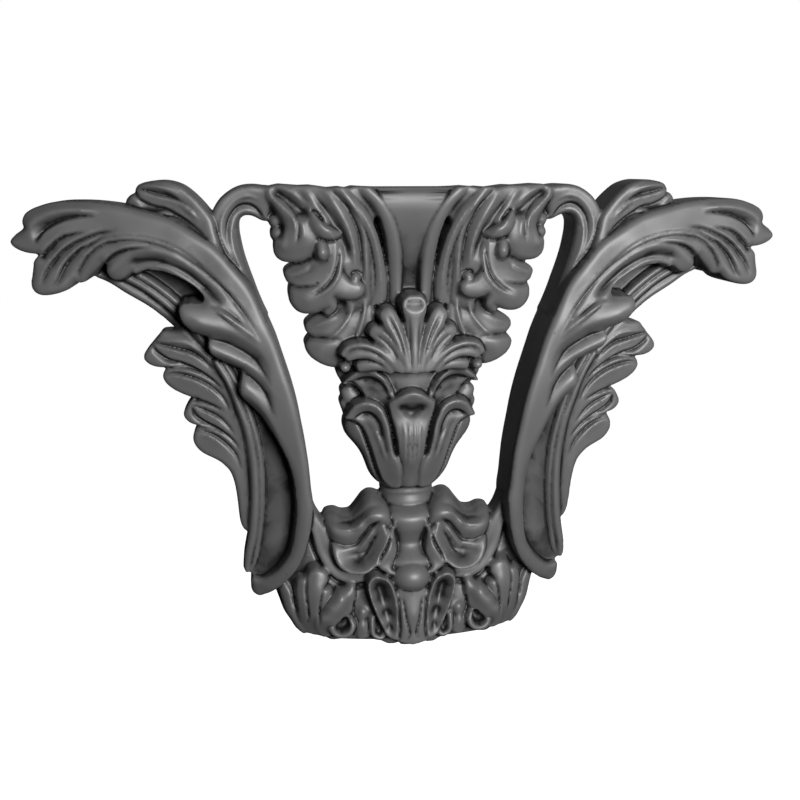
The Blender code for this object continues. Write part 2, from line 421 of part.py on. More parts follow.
def side_leaves(relief):
    """The pair of curled leaves that lie over the bowl's rim on each side."""
    stroke = relief.stroke
    stroke(((10, 76, 14, 19), (26, 76, 12, 19.5), (34, 72.5, 12, 16), (40, 71, 11, 13), (50, 73.5, 11, 12.5),
            (58.5, 79, 10, 8.5)), crown=1, roll=2)
    stroke(((14, 92, 26, 5), (22, 93.5, 28, 5), (30, 90, 27.5, 5), (36, 84, 26, 5), (44, 81.5, 25, 5),
            (51, 83, 22.5, 5.5), (56, 83.5, 19, 4)), crown=0.6, roll=4.5, tilt=0.5)
    stroke(((16, 82, 29, 4), (24, 84, 29, 4), (31, 79, 28, 4), (37, 73.5, 28, 3.8), (45, 72, 28, 4),
            (52, 75, 25, 3.5)), crown=0.8, roll=3)
    stroke(((22, 84, 31, 3), (25.5, 75, 32, 4.5), (31, 67.5, 32, 6), (39, 63.5, 31.5, 6.8),
            (47, 65.5, 30.5, 5.5), (52.5, 70, 28, 3)), crown=-0.5, roll=3)
    stroke(((20.5, 76, 32.5, 1.8), (21.7, 66, 33.5, 2.2), (27, 58, 33.5, 2.4), (37, 54.5, 32.5, 2.4),
            (46, 56, 31, 2.4), (52.5, 64, 29, 2)), crown=0.7, roll=2.5, root=True)


def bowl(relief):
    """The rim band, the boss and the leaves of the bowl that closes the foot."""
    stroke = relief.stroke
    # Back sheet of the bowl and the C-shaped rim band.
    stroke(((94, 40, 9, 4), (83, 27, 17, 12), (67, 23.3, 24, 21.5), (48, 22.8, 29, 22.6), (26, 22.3, 32, 23),
            (0, 22.3, 34, 22)), crown=1, roll=2, tip=False)
    stroke(((69, 100, 22, 2), (65.5, 82, 19, 3.5), (60, 67, 17, 4.6), (52.5, 55, 16, 5), (44.5, 47, 15.5, 4.8),
            (36, 44, 16, 4.2), (28, 45.5, 18, 4), (22, 50, 20, 4)), crown=0.8, roll=2.5)
    stroke(((76, 84, 13, 8), (78, 60, 13, 16), (62, 46, 14, 12), (44, 42, 15, 12), (24, 44, 18, 16)),
           crown=0.5, roll=1)
    stroke(((0, 64, 22, 24), (0, 44, 22, 27)), crown=0.3, roll=0.5, tip=False, both=False)
    # Boss with the tongues that hold it.
    relief.knob(0, 48.5, 44, 14.5, 11.5, 15, both=False)
    stroke(((10, 74, 33, 3), (11, 65, 35.5, 3), (14.5, 57.5, 36, 3.4), (19.5, 56, 34.5, 4)), crown=0.8, roll=3)
    stroke(((13, 80, 33, 2.4), (19, 80.5, 33, 2.2), (21.3, 74, 34, 2), (21.5, 65, 34.5, 2.4),
            (20.5, 58, 34, 3.2)), crown=0.7, roll=2.5)
    # Ribs below the boss.
    stroke(((0, 38, 40, 3), (0, 22, 43.5, 3.2), (0, -1.5, 44, 4.4)), crown=0.8, roll=2.5, both=False)
    stroke(((6, 40, 39, 2), (6, 24, 42, 2.2), (8, 0, 42.5, 3.8)), crown=0.6, roll=2.5)
    # Oval loop: its rim goes round a hollow.
    stroke(((11.5, 8, 41.5, 2.2), (10.8, 24, 41.5, 2), (12.3, 38, 41.5, 2), (16.5, 46.5, 41, 2.1),
            (22.5, 48.3, 40.5, 2.2), (27.3, 44.5, 40, 2), (27, 34, 40.5, 1.9), (23.5, 22, 41, 1.9),
            (19, 10, 41, 2), (14.5, 3.5, 40.5, 2)), crown=0.6, roll=2.5)
    stroke(((18.5, 9, 38, 1.6), (21.5, 4, 38, 1.8), (26.5, 6, 37.5, 1.8), (27.8, 13, 36.5, 1.7),
            (27.5, 20, 35, 1.4)), crown=0.5, roll=2.2)
    # Upright leaf between the oval loop and the large leaf.
    stroke(((35, 4, 33, 6), (35, 12, 35, 5), (33.5, 20, 35, 4.5), (34, 27, 31, 4)), crown=1, roll=3)
    # Large leaf with a curled loop at its foot.
    stroke(((61, 9, 28, 6), (59, 17, 32, 8.5), (54, 26, 34, 9), (47.5, 34, 33, 7), (42.5, 43, 29.5, 3.5)),
           crown=1.5, roll=4)
    stroke(((57, 14.5, 34, 2), (55, 9.5, 36, 2.2), (49.5, 7, 37.5, 2.2), (43.7, 9, 38, 2.2),
            (41.5, 15, 37, 2), (43.5, 20, 35, 1.6)), crown=0.5, roll=2.5)
    # Trefoil and the outermost leaf.
    stroke(((67, 10, 27, 5), (68, 24, 30, 5.5), (67, 36, 33.5, 6.5), (65, 48, 36, 6.8), (64, 53, 35, 5)),
           crown=1, roll=4)
    stroke(((71, 14, 26, 3), (74, 30, 28, 3), (78, 45.5, 27.5, 2.6)), crown=0.8, roll=3)
    stroke(((63, 22, 33, 3), (61, 32, 35, 3.5), (56.5, 40, 35, 2.2)), crown=0.8, roll=3)
    stroke(((72, 9, 23, 4), (79.5, 18, 22, 5), (85, 28, 19, 4.6), (90, 38, 15, 3)), crown=1, roll=3)


def fuse(relief):
    """Fuse every stroke into one solid, thin out its mesh and cut its back flat."""
    rough = bpy.data.meshes.new("strokes")
    relief.mesh.to_mesh(rough)
    relief.mesh.free()
    blank = bpy.data.objects.new("strokes", rough)
    bpy.context.scene.collection.objects.link(blank)
    remesh = blank.modifiers.new("Fuse", "REMESH")
    remesh.mode = "VOXEL"
    remesh.voxel_size = FUSING_PITCH
    remesh.adaptivity = 0.0
    smooth = blank.modifiers.new("Soften", "SMOOTH")
    smooth.factor = 0.5
    smooth.iterations = SMOOTHING_ROUNDS
    fused = evaluated(blank)
    blank.modifiers.clear()
    blank.data = fused
    triangles = sum(len(face.vertices) - 2 for face in fused.polygons)
    thin = blank.modifiers.new("Thin", "DECIMATE")
    thin.ratio = min(1.0, TRIANGLES / triangles)
    thin.use_collapse_triangulate = True
    thinned = evaluated(blank)
    bpy.data.objects.remove(blank)
    body = bmesh.new()
    body.from_mesh(thinned)
    cut = bmesh.ops.bisect_plane(body, geom=list(body.verts) + list(body.edges) + list(body.faces),
                                 dist=0.00002, plane_co=(0.0, 0.0, 0.0), plane_no=(0.0, 1.0, 0.0),
                                 clear_outer=True)
    rim = [item for item in cut["geom_cut"] if isinstance(item, bmesh.types.BMEdge)]
    bmesh.ops.triangle_fill(body, edges=rim, use_beauty=True, use_dissolve=False, normal=(0.0, 1.0, 0.0))
    bmesh.ops.triangulate(body, faces=list(body.faces))
    bmesh.ops.remove_doubles(body, verts=list(body.verts), dist=0.00002)
    bmesh.ops.recalc_face_normals(body, faces=list(body.faces))
    mesh = bpy.data.meshes.new("carved_onlay")
    body.to_mesh(mesh)
    body.free()
    return mesh


def evaluated(thing):
    """A copy of the object's mesh with its modifiers applied."""
    graph = bpy.context.evaluated_depsgraph_get()
    graph.update()
    return bpy.data.meshes.new_from_object(thing.evaluated_get(graph))


def satin_graphite():
    """Dark grey satin paint."""
    finish = bpy.data.materials.new("satin_graphite")
    finish.use_nodes = True
    shader = finish.node_tree.nodes["Principled BSDF"]
    shader.inputs["Base Color"].default_value = FINISH_COLOUR
    shader.inputs["Roughness"].default_value = FINISH_ROUGHNESS
    return finish


def main():
    """Carve the onlay."""
    for thing in list(bpy.data.objects):
        bpy.data.objects.remove(thing)
    relief = Relief()
    for carve in (wing, crest, arm, rear_stem, fan, hook, upper_leaf, lower_leaf, tail_leaf, bell,
                  palmette, cup, collar, side_leaves, bowl):
        carve(relief)
    onlay = bpy.data.objects.new("carved_onlay", fuse(relief))
    onlay.data.materials.append(satin_graphite())
    bpy.context.scene.collection.objects.link(onlay)


main()
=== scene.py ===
"""Satin graphite finish and fine carving of the acanthus onlay, hung in its studio.

The onlay is one carved piece with a flat back. It is drawn on a sheet, one unit to the millimetre
at full size: `out` is the distance from the centre line, `up` the height above the lowest leaf,
`proud` the height of the surface above the back and `half` the half width of a form. Each form is
carved on the left and mirrored to the right, unless it stands on the centre line.

Each sub-assembly of the carving is a class, and its fields are groups of forms in the order in
which they are carved. The classes for the finish, the floor, the lights and the camera follow.
"""

import logging
import math
from dataclasses import dataclass, fields
from enum import Enum

import bmesh
import bpy
import numpy as np
from mathutils import Matrix, Vector


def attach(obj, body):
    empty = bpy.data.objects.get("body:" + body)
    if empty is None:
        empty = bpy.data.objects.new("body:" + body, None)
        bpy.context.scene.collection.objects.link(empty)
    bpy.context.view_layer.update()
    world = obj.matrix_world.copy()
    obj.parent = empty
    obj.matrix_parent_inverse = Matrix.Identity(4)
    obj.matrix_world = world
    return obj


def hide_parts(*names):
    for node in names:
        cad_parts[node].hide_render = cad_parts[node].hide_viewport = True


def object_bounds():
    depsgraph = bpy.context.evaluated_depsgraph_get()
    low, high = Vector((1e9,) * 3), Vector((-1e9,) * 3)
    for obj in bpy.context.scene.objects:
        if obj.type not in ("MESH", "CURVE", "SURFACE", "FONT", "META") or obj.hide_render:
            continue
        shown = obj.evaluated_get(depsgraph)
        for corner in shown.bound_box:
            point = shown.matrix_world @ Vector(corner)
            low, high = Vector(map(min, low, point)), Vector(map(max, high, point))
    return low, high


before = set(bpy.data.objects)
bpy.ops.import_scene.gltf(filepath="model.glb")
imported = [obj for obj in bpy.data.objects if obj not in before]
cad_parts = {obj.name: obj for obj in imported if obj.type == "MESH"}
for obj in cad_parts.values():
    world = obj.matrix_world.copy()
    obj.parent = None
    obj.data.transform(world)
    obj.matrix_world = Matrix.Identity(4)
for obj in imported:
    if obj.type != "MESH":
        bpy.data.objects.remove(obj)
CAD_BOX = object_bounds()

log = logging.getLogger("onlay")

# The drawing sheet, in its own units, as are the other lengths that don't name theirs.
SHEET_WIDTH = 500.0          # wing tip to wing tip
SHEET_DEPTH = 48.0           # flat back to the palmette's proudest point
LOWEST = 1.0                 # least height of a form's surface above the back
BARE = -1000.0               # height of a cell of the map that no form covers
FADE = 2.0                   # how far past its end a crease fades out

# Fineness of the drawing.
STEP = 2.0                   # spacing of a path's stations on the map
FEWEST = 12                  # stations of the shortest path
BAR = (4, 40)                # cells across and along a bar's outline
RIM = 0.6                    # spacing of the points round a sheet's outline
POST = 48                    # sides of a knob's post
PLATE_UNIT = 100.0           # unit of length in the bending of a sheet
CLOSEST = 0.5                # least spacing that a curve gives two of its points
THIN = 0.01                  # keeps a division finite
TINY = 1e-12                 # keeps a logarithm finite

WELD = 0.00002               # points nearer than this are one point, in metres
LEVEL_FACE = 0.999           # a face of the back points backwards at least this much
WHITE = (1.0, 1.0, 1.0, 1.0)
HOLLOWS = "hollows"          # attribute that stores how deep a point lies in a hollow

Point = tuple[float, ...]
Points = tuple[Point, ...]


class Ends(Enum):
    """Which ends of a stroke are rounded off: its root and its tip."""

    SQUARE = (False, False)
    TIP = (False, True)
    ROOT = (True, False)
    ROUND = (True, True)


class Sides(Enum):
    """Where a form stands: on the centre line, or as a mirrored pair."""

    MIDDLE = (1.0,)
    PAIR = (1.0, -1.0)


def smooth_path(points: Points, stations: int) -> np.ndarray:
    """Join points by one smooth curve that passes through all of them.

    Args:
        points: Points of the sheet, with `out` and `up` first.
        stations: How many points the curve gets, evenly spaced.

    Returns:
        One row for each station, with the same columns as the points.
    """
    knots = np.array(points, float)
    steps = np.linalg.norm(np.diff(knots[:, :2], axis=0), axis=1)
    at = np.concatenate(([0.0], np.cumsum(np.maximum(steps, CLOSEST))))
    if len(knots) > 2:
        slopes = np.gradient(knots, at, axis=0)
    else:
        slopes = np.repeat(np.diff(knots, axis=0) / at[-1], 2, axis=0)
    where = np.linspace(0.0, at[-1], stations)
    span = np.clip(np.searchsorted(at, where, side="right") - 1, 0, len(at) - 2)
    length = (at[span + 1] - at[span])[:, None]
    t = (where - at[span])[:, None] / length
    return ((2 * t**3 - 3 * t**2 + 1) * knots[span]
            + (t**3 - 2 * t**2 + t) * length * slopes[span]
            + (3 * t**2 - 2 * t**3) * knots[span + 1]
            + (t**3 - t**2) * length * slopes[span + 1])


def follow(path: np.ndarray) -> tuple[np.ndarray, np.ndarray]:
    """Give the way ahead and the distance run at each station of a path.

    Args:
        path: One row for each station, with `out` and `up` first.

    Returns:
        The directions, of length 1, and the distances.
    """
    ahead = np.gradient(path[:, :2], axis=0)
    ahead /= np.linalg.norm(ahead, axis=1)[:, None]
    steps = np.linalg.norm(np.diff(path[:, :2], axis=0), axis=1)
    return ahead, np.concatenate(([0.0], np.cumsum(steps)))


def fillet(near: np.ndarray, reach: np.ndarray) -> np.ndarray:
    """Give the drop of a quarter-round edge.

    Args:
        near: Distance from the edge.
        reach: Distance over which the edge is rounded.

    Returns:
        The drop as a share of the edge's depth, from 1 at the edge to 0.
    """
    inside = np.clip((reach - near) / reach, 0.0, 1.0)
    return 1.0 - np.sqrt(1.0 - inside**2)


@dataclass
class Block:
    """The block that the forms are carved from.

    The forms' outlines are gathered as overlapping closed plates in one mesh. Their heights are
    drawn on a map of one half of the sheet, where the highest form wins.

    Attributes:
        scale: Metres to one unit across the sheet.
        relief: Metres to one unit of `proud`.
        rise: Height of the origin above the lowest leaf, in metres.
        plate: Height of the plates, in units.
        behind: How far a plate runs past the back before it is trimmed, in units.
        allowance: Added to each half width, because smoothing shrinks the edges.
        fullness: Exponent of a rounded tip: 2 is a half circle, more is fuller.
        cell: Size of a cell of the map.
        span: Greatest `out` and `up` of the map.
        below: How far the map runs below the lowest leaf.
        margin: How many cells the heights are carried past the outline.
        softness: Rounds of averaging on the map.
        ball: Radius of the ball that can roll into every crease.
        skyline: (out, up) along the top edge, between the hooks.
    """

    scale: float
    relief: float
    rise: float
    plate: float = 6.0
    behind: float = 4.0
    allowance: float = 0.25
    fullness: float = 2.6
    cell: float = 0.5
    span: tuple[float, float] = (256.0, 330.0)
    below: float = 6.0
    margin: int = 8
    softness: int = 1
    ball: float = 0.8
    skyline: Points = ((0, 317.2), (22, 317.2), (30, 317.5), (37, 318), (41, 316.8), (46, 317.6),
                       (53, 316.9), (60, 317.9), (65, 318.6), (72, 318.3), (80, 318.9), (85, 319.3),
                       (92, 317.8))

    def __post_init__(self) -> None:
        """Start with an empty mesh, a bare map and no grooves."""
        self.mesh = bmesh.new()
        self.grooves: list["Groove"] = []
        self.out = np.arange(0.0, self.span[0], self.cell)
        self.up = np.arange(-self.below, self.span[1], self.cell)
        self.heights = np.full((len(self.out), len(self.up)), BARE)

    def place(self, out: float, up: float, proud: float) -> Vector:
        """Turn a point of the sheet into a point of the model, in metres."""
        return Vector((-out * self.scale, -proud * self.relief, up * self.scale - self.rise))

    def add(self, piece: bmesh.types.BMesh) -> None:
        """Take a closed plate into the block, and free it.

        Args:
            piece: The plate, in metres.
        """
        bmesh.ops.recalc_face_normals(piece, faces=list(piece.faces))
        carrier = bpy.data.meshes.new("piece")
        piece.to_mesh(carrier)
        piece.free()
        self.mesh.from_mesh(carrier)
        bpy.data.meshes.remove(carrier)

    def run_back(self, plate: bmesh.types.BMesh) -> None:
        """Run a flat plate back past the wall, and take it into the block.

        Args:
            plate: Its faces, at the plates' height, in metres.
        """
        grown = bmesh.ops.extrude_face_region(plate, geom=list(plate.faces))["geom"]
        for vert in (item for item in grown if isinstance(item, bmesh.types.BMVert)):
            vert.co.y = self.behind * self.relief
        self.add(plate)

    def window(self, low: tuple[float, float], high: tuple[float, float]) -> tuple[slice, slice] | None:
        """Find the part of the map inside a box of the sheet.

        Args:
            low: Lowest `out` and `up`.
            high: Highest `out` and `up`.

        Returns:
            The rows and columns, or None where the box misses the map.
        """
        rows = slice(*np.searchsorted(self.out, (low[0], high[0])))
        columns = slice(*np.searchsorted(self.up, (low[1], high[1])))
        if rows.start >= rows.stop or columns.start >= columns.stop:
            return None
        return rows, columns

    def roll_ball(self) -> None:
        """Close every crease as far as a small ball can't reach into it."""
        reach = int(self.ball / self.cell)
        steps = [(i, j, math.sqrt(max(self.ball**2 - (i * i + j * j) * self.cell**2, 0.0)) - self.ball)
                 for i in range(-reach, reach + 1) for j in range(-reach, reach + 1)
                 if (i * i + j * j) * self.cell**2 <= self.ball**2]
        grown = np.full_like(self.heights, BARE)
        for i, j, drop in steps:
            np.maximum(grown, np.roll(self.heights, (i, j), (0, 1)) + drop, out=grown)
        shrunk = np.full_like(self.heights, -BARE)
        for i, j, drop in steps:
            np.minimum(shrunk, np.roll(grown, (i, j), (0, 1)) - drop, out=shrunk)
        self.heights = np.where(self.heights > BARE, np.maximum(shrunk, self.heights), BARE)

    def spread_edges(self) -> None:
        """Carry the heights a few cells past the outline, where the plates' rim may lie."""
        for _ in range(self.margin):
            padded = np.pad(self.heights, 1, mode="edge")
            around = np.maximum.reduce([padded[2:, 1:-1], padded[:-2, 1:-1],
                                        padded[1:-1, 2:], padded[1:-1, :-2]])
            self.heights = np.where(self.heights > BARE, self.heights, around)
        self.heights = np.maximum(self.heights, LOWEST)

    def soften(self) -> None:
        """Average each height with its neighbours."""
        for _ in range(self.softness):
            padded = np.pad(self.heights, 1, mode="edge")
            across = (padded[2:, 1:-1] + padded[:-2, 1:-1]) / 4.0 + self.heights / 2.0
            padded = np.pad(across, 1, mode="edge")
            self.heights = (padded[1:-1, 2:] + padded[1:-1, :-2]) / 4.0 + across / 2.0

    def finish_map(self) -> None:
        """Close the creases, soften the map and cut the grooves."""
        self.roll_ball()
        self.spread_edges()
        self.soften()
        for groove in self.grooves:
            groove.cut(self)

    def read(self, co: np.ndarray) -> np.ndarray:
        """Read the heights at points of the model.

        Args:
            co: Points, in metres.

        Returns:
            The height of the surface there, in metres.
        """
        row = np.clip(np.abs(co[:, 0]) / self.scale / self.cell, 0.0, len(self.out) - 1.001)
        column = np.clip(((co[:, 2] + self.rise) / self.scale - self.up[0]) / self.cell,
                         0.0, len(self.up) - 1.001)
        i, j = row.astype(int), column.astype(int)
        u, v = row - i, column - j
        h = self.heights
        return self.relief * ((1 - u) * (1 - v) * h[i, j] + u * (1 - v) * h[i + 1, j]
                              + (1 - u) * v * h[i, j + 1] + u * v * h[i + 1, j + 1])


@dataclass(frozen=True)
class Route:
    """A path on the map, with each near cell's place along and beside it.

    Attributes:
        cells: Rows and columns of the map around the path.
        values: The path's own columns, read at each cell.
        run: Distance along the path.
        beside: Signed distance to the left of the path.
        past: How far a cell lies past the nearer end.
        length: Length of the path.
    """

    cells: tuple[slice, slice]
    values: np.ndarray
    run: np.ndarray
    beside: np.ndarray
    past: np.ndarray
    length: float

    @staticmethod
    def over(block: Block, points: Points, side: float) -> "Route | None":
        """Lay a path over the map.

        Args:
            block: The block, with its map.
            points: The path's points, with `out` and `up` first and the half width fourth.
            side: 1 on the drawn side, -1 on the mirrored one.

        Returns:
            The route, or None where it misses the map.
        """
        knots = np.array(points, float)
        rough = np.linalg.norm(np.diff(knots[:, :2], axis=0), axis=1).sum()
        path = smooth_path(points, max(int(rough / STEP), FEWEST))
        path[:, 0] *= side
        margin = path[:, 3].max() + FADE
        cells = block.window(tuple(path[:, :2].min(0) - margin), tuple(path[:, :2].max(0) + margin))
        if cells is None:
            return None
        ahead, run = follow(path)
        out, up = np.meshgrid(block.out[cells[0]], block.up[cells[1]], indexing="ij")
        best = np.full(out.shape, np.inf)
        near = np.zeros(out.shape, int)
        for index, (x, z) in enumerate(path[:, :2]):
            gap = (out - x) ** 2 + (up - z) ** 2
            closer = gap < best
            best[closer] = gap[closer]
            near[closer] = index
        dx, dz = out - path[near, 0], up - path[near, 1]
        along = dx * ahead[near, 0] + dz * ahead[near, 1]
        beside = (dx * ahead[near, 1] - dz * ahead[near, 0]) * side
        at = run[near] + along
        values = np.stack([np.interp(at, run, column) for column in path.T], -1)
        past = np.maximum(-at, at - run[-1])
        return Route(cells, values, np.clip(at, 0.0, run[-1]), beside, past, run[-1])


@dataclass(frozen=True)
class Stroke:
    """A rounded bar along the middle of a leaf lobe, strand or band.

    Attributes:
        points: (out, up, proud, half) along the form.
        crown: How much the middle stands above the edges.
        roll: Depth of the rounded edge.
        tilt: How much the left edge stands above the right one, seen along the form.
        ends: Which ends are rounded off.
        sides: Where the form stands.
        sink: How far an open root dives, to rise out of what it grows from.
        fade: How far along the root has risen, as a share of the length.
        ease: Share of the half width over which the edge is rounded.
        round_off: Added to the width of the rounded edge.
        thinnest: Least half width.
        stub: Longest rounded end, as a share of the length.
    """

    points: Points
    crown: float = 1.0
    roll: float = 2.5
    tilt: float = 0.0
    ends: Ends = Ends.TIP
    sides: Sides = Sides.PAIR
    sink: float = 3.0
    fade: float = 0.3
    ease: float = 0.6
    round_off: float = 0.6
    thinnest: float = 0.3
    stub: float = 0.45

    def width(self, block: Block, run: np.ndarray, half: np.ndarray,
              length: float) -> tuple[np.ndarray, np.ndarray]:
        """Give the half width along the form, drawn in at its rounded ends.

        Args:
            block: Gives the allowance and the fullness of the ends.
            run: Distance along the form.
            half: Half width there, before the ends close.
            length: Length of the form.

        Returns:
            The half width, and the distance to the nearest rounded end.
        """
        root, tip = self.ends.value
        ends = np.full(run.shape, np.inf)
        if tip:
            ends = np.minimum(ends, length - run)
        if root:
            ends = np.minimum(ends, run)
        half = np.maximum(half, self.thinnest) + block.allowance
        closing = np.clip(1.0 - ends / np.minimum(half, self.stub * length), 0.0, 1.0)
        return half * np.maximum(1.0 - closing**block.fullness, 0.0) ** (1.0 / block.fullness), ends

    def carve(self, block: Block) -> None:
        """Add the bar's outline and its heights, on each of its sides."""
        across, along = BAR
        path = smooth_path(self.points, along)
        ahead, run = follow(path)
        left = np.stack((ahead[:, 1], -ahead[:, 0]), 1)
        width, _ = self.width(block, run, path[:, 3], run[-1])
        last = len(path) - 1
        for side in self.sides.value:
            bar = bmesh.new()
            grid = bmesh.ops.create_grid(bar, x_segments=across, y_segments=last, size=1.0)
            for vert in grid["verts"]:
                row = round((vert.co.y + 1.0) / 2.0 * last)
                spot = path[row, :2] + left[row] * vert.co.x * width[row]
                vert.co = block.place(side * spot[0], spot[1], block.plate)
            block.run_back(bar)
            self.draw(block, side)

    def draw(self, block: Block, side: float) -> None:
        """Draw the bar's heights on the map, on one side."""
        route = Route.over(block, self.points, side)
        if route is None:
            return
        width, ends = self.width(block, route.run, route.values[..., 3], route.length)
        across = np.clip(route.beside / np.maximum(width, THIN), -1.0, 1.0)
        near = np.minimum(width - np.abs(route.beside), ends)
        reach = self.ease * route.values[..., 3] + self.round_off
        rise = np.clip(route.run / (self.fade * route.length), 0.0, 1.0)
        dive = self.sink * (1.0 - rise) ** 2 if self.ends is Ends.TIP else 0.0
        proud = (route.values[..., 2] + self.tilt * across - self.crown * across**2
                 - self.roll * fillet(near, reach) - dive)
        proud = np.where((near >= 0.0) & (route.past <= 0.0), np.maximum(proud, LOWEST), BARE)
        block.heights[route.cells] = np.maximum(block.heights[route.cells], proud)


@dataclass(frozen=True)
class Knob:
    """A rounded ball on a post that runs back to the wall.

    Attributes:
        out: Distance of its middle from the centre line.
        up: Height of its middle.
        proud: Its highest point above the back.
        across: Its half width.
        tall: Its half height.
        deep: Its half depth.
        sides: Where it stands.
    """

    out: float
    up: float
    proud: float
    across: float
    tall: float
    deep: float
    sides: Sides = Sides.PAIR

    def carve(self, block: Block) -> None:
        """Add the ball's outline and its heights, on each of its sides."""
        for side in self.sides.value:
            piece = bmesh.new()
            back = block.plate + block.behind
            post = (Matrix.Translation(block.place(side * self.out, self.up, block.plate - back / 2.0))
                    @ Matrix.Rotation(math.pi / 2.0, 4, "X")
                    @ Matrix.Diagonal((self.across * block.scale, self.tall * block.scale, 1.0, 1.0)))
            bmesh.ops.create_cone(piece, cap_ends=True, segments=POST, radius1=1.0, radius2=1.0,
                                  depth=back * block.relief, matrix=post)
            block.add(piece)
            low = (side * self.out - self.across, self.up - self.tall)
            high = (side * self.out + self.across, self.up + self.tall)
            cells = block.window(low, high)
            if cells is None:
                continue
            out, up = np.meshgrid(block.out[cells[0]], block.up[cells[1]], indexing="ij")
            gap = ((out - side * self.out) / self.across) ** 2 + ((up - self.up) / self.tall) ** 2
            ball = self.proud - self.deep + self.deep * np.sqrt(np.clip(1.0 - gap, 0.0, 1.0))
            ball = np.where(gap <= 1.0, ball, BARE)
            block.heights[cells] = np.maximum(block.heights[cells], ball)


@dataclass(frozen=True)
class Turned:
    """A turned form on the centre line.

    Attributes:
        profile: (radius, up) from the lowest point to the highest.
        proud: How far its axis stands in front of the back.
        flatten: Its depth as a share of its width.
    """

    profile: Points
    proud: float
    flatten: float

    def carve(self, block: Block) -> None:
        """Add the outline of the turned form and its heights."""
        radii, heights = np.array(self.profile, float).T
        piece = bmesh.new()
        rim = [piece.verts.new(block.place(side * radius, up, block.plate))
               for side, turn in ((1.0, 1), (-1.0, -1)) for radius, up in self.profile[::turn]]
        piece.faces.new(rim)
        block.run_back(piece)
        cells = block.window((0.0, heights[0]), (radii.max(), heights[-1]))
        out, up = np.meshgrid(block.out[cells[0]], block.up[cells[1]], indexing="ij")
        radius = np.interp(up, heights, radii)
        proud = self.proud + self.flatten * np.sqrt(np.maximum(radius**2 - out**2, 0.0))
        proud = np.where(out <= radius, proud, BARE)
        block.heights[cells] = np.maximum(block.heights[cells], proud)


@dataclass(frozen=True)
class Sheet:
    """A leaf with a drawn outline and one smooth surface.

    Attributes:
        outline: (out, up) around the leaf.
        levels: (out, up, proud) where the height of the surface is known.
        roll: Depth of the rounded edge.
        reach: How far in from the outline the edge is rounded.
        grow: How far the outline is moved outwards.
        sides: Where it stands.
    """

    outline: Points
    levels: Points
    roll: float = 4.0
    reach: float = 5.0
    grow: float = 0.7
    sides: Sides = Sides.PAIR

    def bend(self, out: np.ndarray, up: np.ndarray) -> np.ndarray:
        """Bend a thin plate so that it passes through the known levels.

        Args:
            out: Where the plate is read.
            up: Where the plate is read.

        Returns:
            The height of the plate there.
        """
        known = np.array(self.levels, float)
        flat = np.column_stack((np.ones(len(known)), known[:, :2] / PLATE_UNIT))
        system = np.zeros((len(known) + 3, len(known) + 3))
        apart = known[:, None, :2] - known[:, :2]
        system[:-3, :-3] = self.stiffness(apart[..., 0], apart[..., 1])
        system[:-3, -3:] = flat
        system[-3:, :-3] = flat.T
        weights = np.linalg.solve(system, np.append(known[:, 2], (0.0, 0.0, 0.0)))
        height = weights[-3] + (weights[-2] * out + weights[-1] * up) / PLATE_UNIT
        for (x, z, _), weight in zip(known, weights):
            height += weight * self.stiffness(out - x, up - z)
        return height

    @staticmethod
    def stiffness(across: np.ndarray, along: np.ndarray) -> np.ndarray:
        """Give the bending of a thin plate at a distance from a load."""
        square = (across**2 + along**2) / PLATE_UNIT**2
        return square * np.log(np.maximum(square, TINY))

    def carve(self, block: Block) -> None:
        """Add the leaf's outline and its heights, on each of its sides."""
        closed = self.outline + self.outline[:1]
        steps = np.linalg.norm(np.diff(np.array(closed, float), axis=0), axis=1)
        edge = smooth_path(closed, int(steps.sum() / RIM))[:-1]
        ahead = np.roll(edge, -2, axis=0) - np.roll(edge, 2, axis=0)
        ahead /= np.linalg.norm(ahead, axis=1)[:, None]
        turn = math.copysign(self.grow, np.sum(edge[:, 0] * np.roll(edge[:, 1], -1)
                                               - edge[:, 1] * np.roll(edge[:, 0], -1)))
        edge = edge + turn * np.stack((ahead[:, 1], -ahead[:, 0]), 1)
        for side in self.sides.value:
            piece = bmesh.new()
            rim = [piece.verts.new(block.place(side * x, z, block.plate)) for x, z in edge[::2]]
            piece.faces.new(rim)
            block.run_back(piece)
            self.draw(block, edge * (side, 1.0))

    def draw(self, block: Block, edge: np.ndarray) -> None:
        """Draw the leaf's heights on the map.

        Args:
            block: The block, with its map.
            edge: Points close together around the leaf.
        """
        cells = block.window(tuple(edge.min(0) - 1.0), tuple(edge.max(0) + 1.0))
        if cells is None:
            return
        rows, columns = block.out[cells[0]], block.up[cells[1]]
        out, up = np.meshgrid(rows, columns, indexing="ij")
        inside = np.zeros(out.shape, bool)
        near = np.full(out.shape, self.reach)
        for (x, z), (next_x, next_z) in zip(edge, np.roll(edge, -1, axis=0)):
            low, high = np.searchsorted(columns, sorted((z, next_z)))
            for column in range(low, high):
                crossing = x + (next_x - x) * (columns[column] - z) / (next_z - z)
                inside[:np.searchsorted(rows, crossing), column] ^= True
            beside = slice(*np.searchsorted(rows, (x - self.reach, x + self.reach)))
            along = slice(*np.searchsorted(columns, (z - self.reach, z + self.reach)))
            gap = np.hypot(out[beside, along] - x, up[beside, along] - z)
            near[beside, along] = np.minimum(near[beside, along], gap)
        proud = self.bend(np.abs(out), up) - self.roll * fillet(near, self.reach)
        proud = np.where(inside, np.maximum(proud, LOWEST), BARE)
        block.heights[cells] = np.maximum(block.heights[cells], proud)


